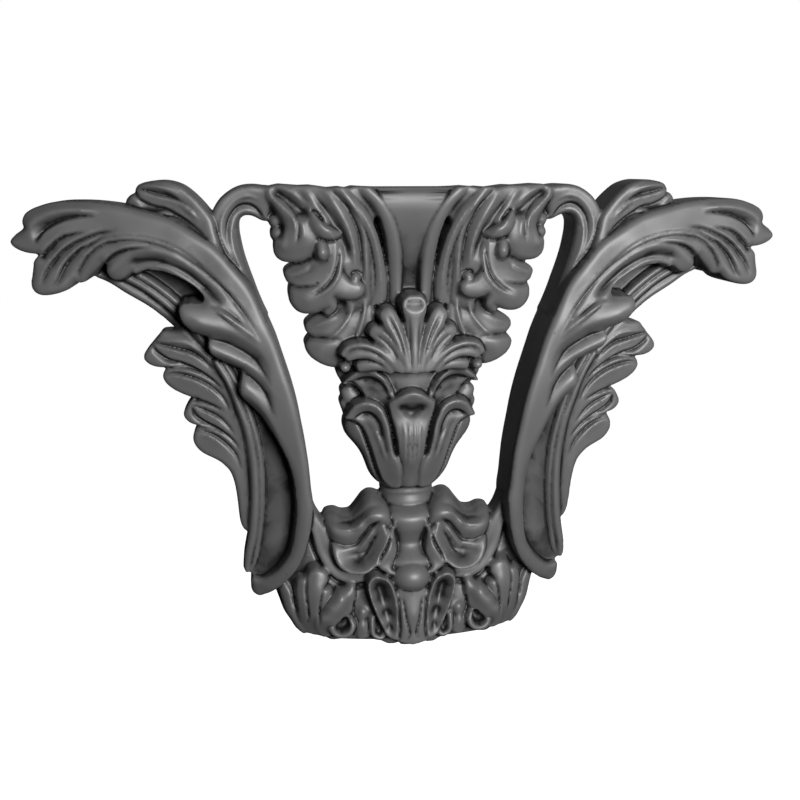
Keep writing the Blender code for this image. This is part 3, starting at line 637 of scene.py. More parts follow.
@dataclass(frozen=True)
class Crease:
    """A crease where one leaf lies over the next: a lip on one side, a fall on the other.

    It changes only what is already drawn, so a form that follows it lies over it.

    Attributes:
        points: (out, up, fall, reach) along the crease: the fall beside the lip, and how far it
            takes the surface to come up again.
        lip: How much the lip is raised. Below zero, the edge is bevelled instead.
        brim: How wide the lip is.
        bevel: Exponent of the lip: 1 is flat, more is hollow.
        curve: Exponent of the rise: 1 is straight, more is hollow.
        turn: Width over which the lip turns into the fall.
        shortest: Least reach.
        rise: The lip is at its full height one part in this many of the length from an end.
        faintest: Least share of the deepest fall that the lip and its width follow.
        sides: Where it stands.
    """

    points: Points
    lip: float = 0.6
    brim: float = 3.0
    bevel: float = 2.0
    curve: float = 1.6
    turn: float = 0.8
    shortest: float = 0.5
    rise: float = 4.0
    faintest: float = 0.05
    sides: Sides = Sides.PAIR

    def carve(self, block: Block) -> None:
        """Cut the crease into the map. The fall is on the left, seen along the points."""
        for side in self.sides.value:
            route = Route.over(block, self.points, side)
            if route is None:
                continue
            fall, reach = route.values[..., 2], np.maximum(route.values[..., 3], self.shortest)
            ending = np.clip(1.0 - np.maximum(route.past, 0.0) / FADE, 0.0, 1.0)
            taper = np.minimum(route.run, route.length - route.run)
            taper = np.clip(self.rise * taper / route.length, 0.0, 1.0) * ending
            share = np.clip(fall / max(point[2] for point in self.points), self.faintest, 1.0)
            down = -fall * np.clip(1.0 - route.beside / reach, 0.0, 1.0) ** self.curve
            brim = self.brim * np.sqrt(share)
            raised = self.lip * share * taper * np.clip(1.0 + route.beside / brim, 0.0, 1.0) ** self.bevel
            turn = np.clip(route.beside / self.turn + 0.5, 0.0, 1.0)
            change = (turn * down + (1.0 - turn) * raised) * ending
            block.heights[route.cells] += np.where(block.heights[route.cells] > BARE, change, 0.0)


@dataclass(frozen=True)
class Groove:
    """A fine channel, cut after the forms are drawn.

    Attributes:
        points: (out, up, proud, half) along the channel; `proud` is the surface that it cuts.
        depth: How deep it is in its middle.
        layer: How far from `proud` a surface may lie and still be cut.
        rise: It is at its full depth one part in this many of the length from an end.
        sides: Where it stands.
    """

    points: Points
    depth: float = 1.5
    layer: float = 6.0
    rise: float = 5.0
    sides: Sides = Sides.PAIR

    def carve(self, block: Block) -> None:
        """Leave the channel for the block's last pass."""
        block.grooves.append(self)

    def cut(self, block: Block) -> None:
        """Cut the channel into the map, on each of its sides."""
        for side in self.sides.value:
            route = Route.over(block, self.points, side)
            if route is None:
                continue
            share = np.clip(1.0 - (np.hypot(route.beside, np.maximum(route.past, 0.0))
                                   / route.values[..., 3]) ** 2, 0.0, 1.0) ** 2
            taper = np.minimum(route.run, route.length - route.run)
            taper = np.clip(self.rise * taper / route.length, 0.0, 1.0)
            level = np.abs(block.heights[route.cells] - route.values[..., 2]) < self.layer
            block.heights[route.cells] -= np.where(level, self.depth * share * taper, 0.0)


Forms = tuple[Stroke | Knob | Turned | Sheet | Crease | Groove, ...]


@dataclass
class SubAssembly:
    """A named part of the carving. Its fields are groups of forms, in the order of carving."""

    def carve(self, block: Block) -> int:
        """Carve every form of every group.

        Args:
            block: The block that takes them.

        Returns:
            How many forms were carved.
        """
        forms = [form for group in fields(self) for form in getattr(self, group.name)]
        for form in forms:
            form.carve(block)
        return len(forms)


@dataclass
class Crest(SubAssembly):
    """The feathers that stand up behind the wing."""

    # One sheet, with a rounded lobe low at its outer end.
    feathers: Forms = (
        Sheet(outline=((104, 240), (110, 256), (117, 268), (121, 277), (124, 288), (127, 299), (130, 303.5),
            (135, 309.5), (140, 314.3), (145, 318), (150, 320), (155, 321), (160, 321), (165, 320.3),
            (169, 319.3), (171.8, 317.8), (173, 315.5), (173.2, 313.4), (175.5, 312.6), (177.5, 311.2),
            (179.3, 309), (179.4, 306), (178.2, 303.5), (172, 297), (155, 290), (138, 280), (122, 262),
            (114, 244)),
            levels=((108, 246, 37), (115, 262, 37), (121, 273, 36.5), (127, 285, 35), (133, 296, 33.5),
            (142, 306, 32.5), (152, 313, 31.5), (163, 315.5, 30.5), (171, 316.5, 29.5), (132, 284, 34),
            (142, 295, 32), (152, 303, 30.5), (162, 307, 29.5), (172, 309, 28), (140, 286, 31.5),
            (152, 295, 30), (165, 302, 27.5), (176, 307, 26)), roll=4, reach=5),
        Groove(((133, 295, 33.5, 2.6), (138, 301.5, 33, 2.8), (143, 307.3, 32.5, 2.8), (148, 312.3, 32, 2.8),
            (153, 315.7, 31.5, 2.6), (159, 317.6, 31, 2.2), (165, 318, 30, 1.8), (171, 317.8, 29, 1.2)),
            depth=-1.4),
    )
    # Deep creases under the top feather, under the second one and under the low lobe.
    creases: Forms = (
        Crease(((172, 316.3, 3.4, 3), (168, 315, 3.6, 4.5), (163, 313.3, 3.8, 5.5), (158, 311.9, 4, 6),
            (153, 310.9, 4, 6.5), (149, 309.7, 3.8, 6), (145, 307.5, 3.4, 5), (141, 304.3, 2.8, 4),
            (137.5, 301, 1.8, 3), (134.5, 297, 0, 2.5)), lip=0.8, brim=3),
        Crease(((128.5, 284, 0, 3), (131.5, 287.5, 1.6, 3.5), (135, 291.5, 2.8, 4), (140, 295.8, 4, 4.5),
            (145, 299.3, 5, 5), (150, 302.4, 5.2, 5), (155, 304.8, 5, 5.5), (160.5, 306, 4.6, 6),
            (166, 308, 4.2, 5.5), (170, 310.5, 3.8, 4), (173, 313.6, 3.4, 3)), lip=0.8, brim=3),
        Crease(((138, 293, 0, 2), (142, 296, 1.6, 2), (147, 299.2, 2.4, 2.4), (152, 300.7, 2.8, 2.6),
            (158, 300.8, 2.6, 2.6), (165, 300, 2.4, 2.6)), lip=1.2, brim=3),
        Crease(((170, 301.5, 1, 3), (158, 298, 3.4, 3), (150, 294.6, 4, 3.2), (145, 291.8, 4, 3.4),
            (140, 288.6, 4, 3.4), (135, 285, 3.4, 3.2), (130, 281.4, 2, 3), (125, 277.5, 0, 2.5)), lip=0.0),
    )


@dataclass
class Wing(SubAssembly):
    """The long leaf from the arm's trunk outwards, with its lobes and the three lapping noses."""

    # One smooth sheet: the trunk, the feathers, the rim of the opening and the noses.
    sheet: Forms = (
        Sheet(outline=((69.9, 83), (68.4, 94), (67.7, 105), (68.7, 113), (69.5, 123), (70.5, 135), (72, 146),
            (73.7, 156), (75.3, 166), (77.5, 177), (80, 187), (83.8, 200), (86.5, 209), (89.2, 218),
            (92.2, 226), (95.5, 234), (99, 242), (103, 251), (108, 259), (112, 264), (117, 270), (122, 276),
            (128, 281.8), (134, 286), (140, 290), (145, 293.2), (150, 296), (155, 298.4), (160, 300.2),
            (165, 301.6), (172, 303.4), (180, 305.6), (190, 307.3), (200, 308.3), (210, 308.6), (219, 308.3),
            (226, 307.2), (231, 305.7), (236, 303.8), (240, 301.2), (241.8, 298), (242, 295), (241, 292.8),
            (243, 290.8), (246, 288.8), (249, 286), (250.2, 284), (248.8, 281.8), (245, 279.4), (240, 277.8),
            (235, 277.2), (231.6, 276.9), (231.4, 275.9), (233.6, 274.8), (236.2, 272), (237, 268),
            (238, 263), (239, 258.5), (238.6, 254.8), (236.5, 252.2), (233, 251), (228, 251.3), (222, 252.8),
            (217, 255), (213.8, 257.8), (212, 259), (210.5, 258.5), (208.5, 258.8), (205, 260.8),
            (202.5, 262.8), (199.5, 265.6), (196.5, 268.8), (194.4, 270.8), (193.4, 270), (193.3, 266),
            (192.5, 262.5), (190, 260), (187, 259.6), (183, 261), (179, 264), (177.4, 264.8), (176, 263.9),
            (173, 265), (168, 266.3), (163, 265.8), (158, 265), (153, 263.2), (148, 261), (143, 258),
            (138, 254.4), (134.8, 250.8), (133.6, 248), (134.2, 245.6), (138, 245.3), (143, 245.3),
            (147, 244.8), (148.7, 243), (149.4, 240), (149, 236), (147.5, 232.5), (145, 229.5), (142, 227),
            (137, 224.5), (132.6, 223), (131.7, 221.5), (132.3, 217.8), (131.7, 214), (130.3, 211),
            (128, 208.8), (125, 207), (120, 204.5), (115, 202), (112, 200.3), (111.5, 198), (112.4, 192),
            (113.2, 187.4), (112.8, 183.6), (111, 180.5), (108, 177), (104, 173), (100, 168.5), (96, 162),
            (92, 155), (88.3, 148), (85.2, 141), (82.6, 134), (80.8, 127), (79.5, 120), (79, 113),
            (78.6, 104), (79.1, 91.8), (80.6, 81), (82, 73.4), (84.5, 65.6), (88, 59.5), (92, 53.9),
            (97, 49), (101, 46.3), (105.2, 45.4), (109, 45.4), (110.4, 43.5), (110.5, 40), (110.3, 36),
            (108.3, 32.7), (105.2, 31.5), (102, 32.9), (95, 37), (86, 45.9), (78.4, 56.7), (73, 70)),
            levels=((106.5, 38.5, 17), (100, 41.5, 20.5), (92, 48.5, 24.5), (84.5, 58, 28.5), (79, 70, 31.5),
            (75.2, 86, 34.5), (73.6, 104, 37), (74.5, 126, 38.5), (78.5, 150, 40), (84.5, 172, 41.5),
            (91.5, 195, 42), (100, 218, 42), (110, 238, 41), (121, 257, 40), (138, 274, 38.5),
            (155, 290, 37), (175, 297, 35.5), (195, 301, 34), (215, 301, 33), (230, 298, 31.5),
            (239, 295.5, 30), (247, 284.5, 30), (237, 283.5, 32), (200, 291, 35), (215, 291, 34.5),
            (225, 283, 34), (215, 275, 34.5), (226, 268, 34), (233, 258, 33), (220, 260, 33.5),
            (180, 287.5, 37), (200, 282, 35.5), (209, 270, 33.5), (208, 262, 31.5), (188, 281, 36),
            (150, 275, 39), (165, 277, 38), (180, 275, 37), (188, 268, 34.5), (188, 262, 31.5),
            (130, 249, 39), (145, 260, 38), (160, 266.5, 37), (174, 265.5, 35.5), (110, 226, 43.5),
            (122, 232, 45), (136, 236, 46), (146, 239, 45), (104, 203, 40.5), (114, 209, 41),
            (127, 214, 41.5), (100, 180, 40), (108, 188, 40)), roll=4, reach=5.5),
    )
    # The edges of the three noses, where each one lies over the next.
    laps: Forms = (
        Crease(((92, 190, 0, 8), (97, 200, 2.2, 8.5), (101, 205.8, 4, 9), (105, 209.8, 5.4, 9.5),
            (110, 213.5, 6.4, 10), (115, 216.5, 7, 10), (120, 219.2, 7.4, 10), (126, 221.2, 7.6, 9.5),
            (132, 222.9, 7.6, 8), (137, 224.5, 7.6, 8), (142, 227, 7.6, 8), (145, 229.5, 7.6, 8),
            (147.5, 232.5, 7, 8), (149, 236, 5, 8), (149.8, 241, 3, 8)), lip=-6.0, brim=8.5, bevel=1.25),
        Crease(((90, 169, 0, 6), (93, 177, 1.4, 6.5), (96, 184, 3, 7), (100, 190.2, 4.6, 7.5),
            (105, 195.4, 5.6, 8), (110, 199.2, 6.2, 8), (115, 202, 6.4, 7), (120, 204.5, 6.4, 6),
            (125, 207, 6.4, 6), (128, 208.8, 6.4, 6), (130.4, 211, 6, 6), (132, 214.3, 5, 6),
            (132.8, 218.5, 3, 6)), lip=-4.6, brim=6, bevel=1.25),
        Crease(((86, 143, 0, 6), (92.4, 155, 2, 6), (96.5, 162, 3.4, 6), (100.5, 168.3, 4.6, 6),
            (104.5, 173, 5.4, 6), (108.4, 177, 5.4, 6), (111.3, 180.5, 5, 6), (113.2, 183.5, 4, 6),
            (113.8, 187.8, 3, 6)), lip=-4.4, brim=5.5, bevel=1.25),
    )
    # The creases between the feathers, from the top one down.
    creases: Forms = (
        Crease(((234, 283, 0, 5), (231.5, 287, 4, 7), (228, 290.9, 5.2, 8), (225, 293, 5.4, 8),
            (220, 295.6, 5, 7), (215, 297.4, 4.4, 6), (209, 298.7, 3.4, 5), (203, 299.4, 2, 4),
            (196, 299.6, 0, 3.5)), lip=0.8, brim=4),
        Crease(((203, 291, 0, 5), (211, 290, 1.8, 6), (218, 288, 3, 7), (222, 285.5, 3.8, 7),
            (226, 282, 4.8, 7), (229, 279, 5.4, 6), (231.5, 276, 5, 5)), lip=0.5, brim=4),
        Crease(((185, 291.2, 0, 3.5), (193, 290.8, 2, 4), (200, 289, 3.2, 5), (207, 286.3, 3.8, 5.5),
            (213, 283.3, 4.2, 6), (218, 279.8, 4.4, 6), (222, 276, 4.4, 6), (225.5, 272, 4.2, 6),
            (228.5, 268, 3.4, 5), (231, 263.5, 2.4, 4.5), (234, 257.5, 0, 4)), lip=1.0, brim=3),
        Crease(((190, 289.8, 0, 3.5), (197, 286.5, 2.2, 4), (203, 283, 3.4, 4.5), (208, 280.3, 4, 5),
            (212, 277, 4.4, 6), (216, 273, 4.4, 6.5), (219, 269, 4, 7), (221.3, 264.6, 3.4, 7),
            (223.6, 260, 2.4, 6), (228, 255, 0, 4)), lip=1.0, brim=2.5),
        Crease(((164, 281.2, 0, 5), (170, 281, 1.6, 6), (176, 280.5, 3, 7), (182, 279.3, 4, 8),
            (187, 277.2, 4.6, 8), (190.5, 274.8, 5, 8), (193.5, 271.9, 5, 7), (197, 268.4, 4, 5),
            (200.5, 265, 3, 5), (204, 261.6, 3, 5)), lip=0.6, brim=4),
    )
    # The double ridge, the top feather's ridge and the hollow over the rim of the opening.
    ridges: Forms = (
        Crease(((96, 218, 0, 3), (106, 236, 0.8, 3.5), (116, 250, 1.2, 4), (126, 260, 1.4, 4),
            (138, 270.5, 1.5, 4.5), (150, 278.7, 1.6, 4.5), (160, 282.8, 1.8, 4.5), (172, 285.4, 2, 4.5),
            (184, 285.6, 2.2, 4.5), (193, 283.8, 2.4, 4.5), (199, 280.5, 2.6, 4.5), (204, 275.8, 2.6, 4.5),
            (208, 270, 2.4, 4), (210.3, 264, 2, 3.5), (210.5, 260, 1, 3)), lip=1.1, brim=6, bevel=1.3),
        Groove(((98, 219, 42, 1.2), (108, 236, 41.5, 1.5), (118, 250.5, 40.5, 1.7), (130, 264.5, 40, 1.7),
            (142, 275.3, 39.5, 1.7), (152, 281.6, 39, 1.7), (162, 285.2, 38.5, 1.7), (173, 287.3, 38, 1.7),
            (184, 287.5, 37.5, 1.7), (193, 286, 37, 1.7), (200, 282.4, 36.5, 1.7), (206, 276.5, 35.5, 1.7),
            (210.5, 270, 34.5, 1.5), (212.2, 264, 33, 1.5)), depth=0.9),
        Groove(((195, 301.3, 34, 3), (203, 303, 34, 3.6), (212, 303.5, 33.5, 3.9), (220, 302.8, 33, 4.2),
            (228, 300.6, 32.5, 4.2), (235, 297, 31.5, 3.9), (239, 292.5, 31, 3.6), (242, 287.5, 31, 3.6)),
            depth=-1.4),
        Groove(((188, 264, 35, 6.8), (183, 267.8, 35.5, 7.5), (177, 270.6, 36, 7.8), (170, 271.8, 37, 7.5),
            (161, 271.2, 37.5, 6.9), (152, 268, 38, 6.6), (143, 262.5, 38.5, 6), (133, 254, 39, 5.4),
            (122, 243.5, 39.5, 4.5)), depth=3.4),
        Groove(((176, 266.2, 36, 1.8), (171, 268.3, 36, 2.1), (164, 269, 37, 2.2), (156, 267.5, 38, 2.2),
            (148, 263.6, 38.5, 2.2), (139, 257, 39, 2.2), (130, 248.6, 39.5, 2.2), (121, 239.5, 40.5, 2.2),
            (113, 231.5, 41.5, 2.1), (105, 222, 42, 1.5)), depth=-1.3),
        Groove(((160, 266.8, 37, 1.5), (152, 264, 37.5, 1.7), (144, 259, 38, 1.8), (136, 252.3, 39, 1.8),
            (128, 244.5, 39.5, 1.8), (119, 235.5, 41, 1.8), (111, 227.5, 42, 1.5)), depth=-0.9),
        Groove(((132, 243, 44, 1.8), (125, 240.3, 44, 2.1), (118, 236.6, 43.5, 2.2), (111, 231, 43, 2.2),
            (105, 225, 42.5, 2.1), (99, 218, 42, 1.8)), depth=-1.0),
        Groove(((130, 245.5, 42, 2.7), (124, 242, 42, 2.7), (117, 237.8, 42.5, 2.4),
            (110, 231.5, 42.5, 1.8)), depth=1.2),
    )


@dataclass
class Arm(SubAssembly):
    """The sunk panel of the C-scroll arm, between the trunk and two rim strands."""

    # Floor of the sunk panel and its two rim strands.
    panel: Forms = (
        Sheet(outline=((108, 46), (98, 47), (88, 56), (80, 70), (77, 90), (76, 120), (80, 140), (86, 160),
            (96, 180), (110, 205), (124, 222), (146, 226), (138, 216), (129, 204), (121, 188), (115, 172),
            (110, 157), (107, 140), (105.5, 120), (106, 100), (108, 80), (111, 62), (112.5, 50)),
            levels=((106, 52, 12), (97, 60, 13), (90, 75, 15), (86, 100, 17), (86, 130, 19), (92, 155, 20),
            (104, 182, 21), (120, 210, 21), (100, 80, 13.5), (98, 105, 15.5), (98, 130, 17.5),
            (102, 155, 19), (130, 218, 20)), roll=0.5, reach=2),
        Stroke(((114, 48, 13, 2.2), (112.7, 60, 15.5, 2.6), (109, 78, 18, 3), (106.7, 98, 20, 3),
            (106, 118, 21, 3), (107, 138, 22, 3), (110, 157, 24, 2.6), (114.5, 172, 25, 2.3),
            (121, 190, 26, 2), (129, 205, 26, 2)), crown=1.2, roll=2, tilt=-0.5, ends=Ends.ROOT),
        Stroke(((110.5, 50, 12, 1), (108, 58, 13.5, 1.3), (104.5, 76, 15.5, 1.5), (102, 98, 17.5, 1.6),
            (101.2, 118, 19.5, 1.6), (102, 138, 21.5, 1.6), (105, 156, 23.5, 1.6), (110, 174, 24.5, 1.5),
            (117, 192, 25.5, 1.5), (124, 205, 25.5, 1.5)), crown=0.8, roll=1.5, ends=Ends.ROOT),
        Stroke(((112, 120, 13, 5), (110, 140, 14, 7), (114, 160, 14, 6)), crown=0.3, roll=0.5),
    )


@dataclass
class RearStem(SubAssembly):
    """The double-ridged stem that rises behind the wing, and the sunk panel beside it."""

    stem: Forms = (
        Sheet(outline=((118, 196), (124, 214), (128, 232), (132, 250), (145, 265), (160, 271), (176, 271),
            (192, 270), (200, 264), (188, 256), (172, 246), (156, 230), (140, 212), (126, 192)),
            levels=((122, 205, 18), (140, 240, 13), (160, 258, 12), (185, 262, 12), (150, 225, 13),
            (180, 252, 11)), roll=0.5, reach=2),
        Stroke(((122, 196, 20, 4), (138, 215, 18, 4.8), (151.5, 230.8, 17, 5.2), (165.8, 243.8, 17, 5.3),
            (181, 253.6, 17, 5.2), (194, 261, 16.5, 4.2), (204, 263.5, 16, 2.5)), crown=1.5, roll=5,
            tilt=2.5),
        Stroke(((126, 203, 23, 2.1), (137, 218, 22, 2.1), (149, 232.5, 21, 2.1), (162, 245.5, 20.5, 2.1),
            (176, 256, 20, 2.1), (190, 263, 19, 2.1)), crown=0.8, roll=2.5),
        Stroke(((122.7, 207, 23, 2.1), (133.7, 222, 22, 2.1), (145.7, 236.5, 21, 2.1),
            (158.7, 249.5, 20.5, 2.1), (172.7, 260, 20, 2.1), (186.7, 267, 19, 2.1)), crown=0.8, roll=2.5),
    )


@dataclass
class Fan(SubAssembly):
    """The four groups of small leaves on the arm's outer side and the tail leaf under them."""

    # One sheet with the outline of every lobe and of the tail leaf.
    sheet: Forms = (
        Sheet(outline=((149, 227), (153, 224.5), (158, 224), (162.5, 223.4), (165, 220.3), (168, 217),
            (170.5, 214), (173, 211), (174.8, 208), (175, 205), (173.5, 203), (171, 201.3), (168, 200.2),
            (164, 199.6), (160.8, 199), (161.8, 197.2), (163.1, 195), (163.4, 192.3), (162.3, 189.5),
            (160, 186.8), (157, 184.3), (153, 182), (149, 180.2), (145, 178.6), (141.9, 177.7),
            (141.4, 176.7), (143.5, 176.3), (145.7, 176), (148, 173.6), (149.7, 170.6), (151, 168),
            (151.3, 165.5), (150, 163), (148, 161), (145, 159.4), (142.7, 158.4), (143.2, 156.5),
            (144.6, 154), (145.6, 151), (145.8, 148), (144.6, 144.5), (142.5, 141.5), (139.5, 139),
            (136, 137), (132, 135), (128.5, 132.8), (125.3, 129.8), (122.3, 126), (120.3, 121), (119, 115),
            (118, 107), (117.5, 100), (117.1, 94), (116.5, 88), (115.2, 83.5), (113.3, 80.8), (111.5, 80.3),
            (110, 82), (108, 90), (106.5, 105), (106.5, 125), (108, 145), (112, 165), (118, 185), (126, 200),
            (136, 213), (143, 221)),
            levels=((165, 218, 18), (172, 207, 16.5), (158, 212, 19), (145, 216, 20), (135, 208, 21),
            (160, 191, 17), (148, 188, 18.5), (135, 181, 19.5), (125, 186, 21), (148, 167, 16.5),
            (138, 167, 18), (128, 160, 19.5), (142, 150, 16.5), (132, 145, 18), (122, 140, 19),
            (116, 120, 18), (113.5, 100, 16.5), (113, 84, 14.5), (115, 150, 20), (118, 175, 21),
            (108, 120, 17), (109, 140, 19)), roll=3, reach=3.5, grow=0.5),
        Groove(((166.5, 217, 17, 1.6), (160, 217.6, 18, 1.8), (154, 217.5, 19, 1.9), (149, 216.7, 20, 1.9),
            (145, 215, 20, 1.8), (141, 212, 20, 1.7), (137, 208.4, 20, 1.6), (131, 202, 20, 1.2)),
            depth=-1.0),
    )
    # First and second group: a rib, a second one that lies over its hollow, then the round lobe.
    upper_creases: Forms = (
        Crease(((168, 215.8, 3, 3), (163, 214.4, 4.5, 3.5), (158, 213, 5.1, 4), (152, 211.3, 5.4, 4.5),
            (146, 209.6, 5.4, 4.5), (142, 207.7, 5.1, 4), (138, 204.8, 4.2, 3.5), (134.5, 201.3, 2.4, 3),
            (131, 197, 0, 2.5)), lip=0.8, brim=3),
        Crease(((124, 183.5, 0, 2.5), (127, 187.6, 2.7, 3), (131, 191.6, 4.5, 3.5), (136, 195.5, 5.7, 4),
            (141, 198.8, 6.3, 4.5), (146, 201.5, 6.3, 5), (151, 203.5, 6, 5), (156, 204.8, 5.7, 5),
            (160, 206.5, 5.4, 5), (163, 208.5, 5.1, 4.5), (166, 211, 4.5, 4), (168.8, 214.8, 3, 3)), lip=0.8,
            brim=3),
        Crease(((138, 196, 0, 2), (142, 198.3, 3, 2.5), (147, 199.9, 4.5, 2.8), (152, 200.4, 5.1, 3),
            (157, 200.2, 5.1, 3), (163, 199.4, 4.8, 3)), lip=0.4, brim=3),
        Crease(((161.5, 194, 2.4, 2.5), (157, 194.9, 4.2, 3), (152, 194.1, 5.1, 3.5), (146, 192.4, 5.4, 4),
            (140, 190, 5.4, 4), (135, 187, 5.1, 4), (130, 183, 4.5, 3.5), (126.4, 179, 3.6, 3),
            (123.6, 174.5, 2.4, 2.5), (121.3, 169, 0, 2)), lip=0.8, brim=3),
        Crease(((124, 169.5, 0, 2), (128, 172, 2.7, 2.5), (133, 174.6, 4.5, 3), (138, 176.6, 5.1, 3.5),
            (143, 178, 5.1, 4)), lip=0.3, brim=3),
    )
    # Third and fourth group: the same, smaller.
    lower_creases: Forms = (
        Crease(((144.5, 172.4, 2.4, 2.5), (140, 170.2, 4.2, 3), (136, 168.3, 4.8, 3.2),
            (132, 166.2, 4.8, 3.4), (128, 163.5, 4.5, 3.2), (125, 160.6, 3.6, 3), (122, 157, 2.4, 2.5),
            (118.6, 152.5, 0, 2)), lip=0.8, brim=2.5),
        Crease(((114.6, 140.5, 0, 2), (117, 146, 2.4, 2.5), (121, 151.1, 4.2, 3), (126, 155.5, 5.4, 3.5),
            (131, 158.8, 6, 4), (136, 161.4, 6, 4.5), (140, 164, 5.7, 4.5), (143, 167, 4.8, 4),
            (144.7, 171, 3, 3)), lip=0.8, brim=2.5),
        Crease(((126, 153.8, 0, 2), (130, 156, 2.4, 2.2), (135, 157.4, 3.9, 2.5), (140, 158, 4.5, 2.8),
            (144, 158.7, 4.5, 3)), lip=0.4, brim=2.5),
        Crease(((143.5, 154.4, 2.4, 2.5), (138, 153.8, 4.2, 3), (134, 152.1, 5.1, 3.5), (130, 149.6, 5.4, 4),
            (126, 146.2, 5.1, 4), (122, 142, 4.5, 3.6), (119, 137.8, 3.6, 3), (117, 133, 2.1, 2.5),
            (115, 126, 0, 2)), lip=0.8, brim=3),
    )


@dataclass
class Hook(SubAssembly):
    """The top of the C-scroll: an outer and an inner band with a deep crease between them."""

    bands: Forms = (
        Sheet(outline=((103, 250), (108, 259), (112, 265), (116, 271), (120, 277), (123, 284), (125.5, 292),
            (126.5, 298), (126, 302), (124, 306), (121.5, 309.5), (118, 312.8), (114, 315.5), (109.5, 317.4),
            (104.5, 318.3), (99, 318.3), (95, 317.7), (89, 316.5), (87.5, 311), (89.5, 305.5), (91.2, 300.5),
            (91.8, 297.2), (93.6, 296.2), (96, 296.8), (99, 298.5), (103, 300), (106.5, 300), (109.2, 298.6),
            (110.8, 295.5), (111.2, 290), (110.2, 282), (108.6, 274), (106, 265), (103, 256), (100, 247),
            (96.5, 238), (94, 232), (98, 236)),
            levels=((102, 244, 29), (110, 258, 31), (117, 271, 32), (122.5, 287, 31.5), (123, 298, 31.5),
            (118.5, 308, 32), (111, 314, 32), (102, 315, 32), (93, 314, 32), (107, 262, 29.5),
            (111.5, 275, 30), (114.5, 288, 30), (113, 297, 29.5), (108, 302.8, 29), (101, 303, 29),
            (95.5, 299.5, 28)), roll=4, reach=5),
        Crease(((94, 297.2, 3, 3), (95.8, 300.8, 4, 4), (98.5, 304.4, 4.8, 5), (102, 306.8, 5, 5.5),
            (106.5, 307.5, 5, 5.5), (110.5, 306.3, 4.6, 5.5), (114, 303.2, 4, 5), (117, 298.4, 3, 4.5),
            (118.5, 292.5, 2, 4), (118.6, 285, 1, 3.5), (117, 276, 0, 3)), lip=1.0, brim=3),
        Groove(((112, 266, 31, 1.4), (118, 278, 32, 1.6), (121.6, 288, 32, 1.6), (120.6, 297, 32, 1.6),
            (116.6, 304.5, 32, 1.6), (110.5, 310, 32, 1.6), (104, 311.8, 32, 1.5), (98, 309.8, 32, 1.3),
            (94, 305, 31, 1)), depth=-0.8),
        Groove(((105, 256, 29, 1.2), (110.5, 268, 30, 1.4), (114.2, 280, 30, 1.5), (115, 290, 29.5, 1.4),
            (112.5, 298, 29, 1.2)), depth=-0.8),
    )


@dataclass
class Strands(SubAssembly):
    """The sheet of strands that falls from the top edge behind the pair of curled leaves."""

    sheet: Forms = (
        Sheet(outline=((98, 318), (92, 317.6), (87, 318.4), (84.5, 319.2), (80, 318.9), (72, 318.3),
            (63, 318.6), (56, 317.2), (50, 317.4), (44, 317.2), (38, 318), (30, 317.4), (22, 317), (22, 308),
            (25, 296), (26, 280), (26, 260), (26, 244), (28, 230), (34, 222), (40, 228), (42.5, 238),
            (43, 243.5), (47, 244.5), (52, 246), (56, 250), (60, 260), (66, 272), (74, 281), (81, 290),
            (85, 298), (88, 304), (92, 311)),
            levels=((88, 315, 33), (75, 315, 35.5), (60, 315, 38), (48, 315, 40), (36, 315, 40),
            (78, 300, 34), (62, 300, 38), (48, 300, 40), (38, 300, 39), (30, 300, 37), (62, 285, 36.5),
            (50, 285, 38), (40, 285, 38), (31, 285, 35.5), (55, 268, 35.5), (45, 268, 37), (35, 268, 35),
            (48, 252, 34), (35, 252, 32), (32, 238, 29), (44, 243, 31)), roll=2.5, reach=3),
        Groove(((64, 312, 38, 3.9), (58, 305, 38, 4.8), (52, 297.5, 38.5, 5.1), (47.5, 289, 38, 5.4),
            (44, 280, 38, 5.1), (42.5, 270, 37, 3.9)), depth=2.8),
        Groove(((58, 318, 39, 2.7), (51, 308, 40, 3), (45.5, 299, 40, 3.2), (41, 289.5, 39, 3.2),
            (38.4, 280, 38, 3), (37.4, 270, 37, 2.7), (37.6, 262, 35, 2.1)), depth=-1.4),
        Groove(((70, 317, 36.5, 2.4), (64, 309.5, 38, 2.7), (58, 301, 38, 2.7), (53.5, 293, 38, 2.4)),
            depth=-1.1),
        Groove(((48, 318, 40, 2.7), (41, 308.5, 39.5, 3), (36, 299, 39, 3), (32.3, 288, 37, 3),
            (30.4, 276, 35.5, 3), (29.6, 262, 34, 2.7), (29.6, 248, 32, 2.2)), depth=-1.4),
        Groove(((53, 318, 40, 1.8), (47, 310.5, 39.5, 2.1), (41, 302, 39, 2.2), (36, 292, 38.5, 2.4),
            (33.6, 281, 37, 2.4), (32.6, 268, 35, 2.2), (32.4, 255, 33, 1.8)), depth=1.4),
    )


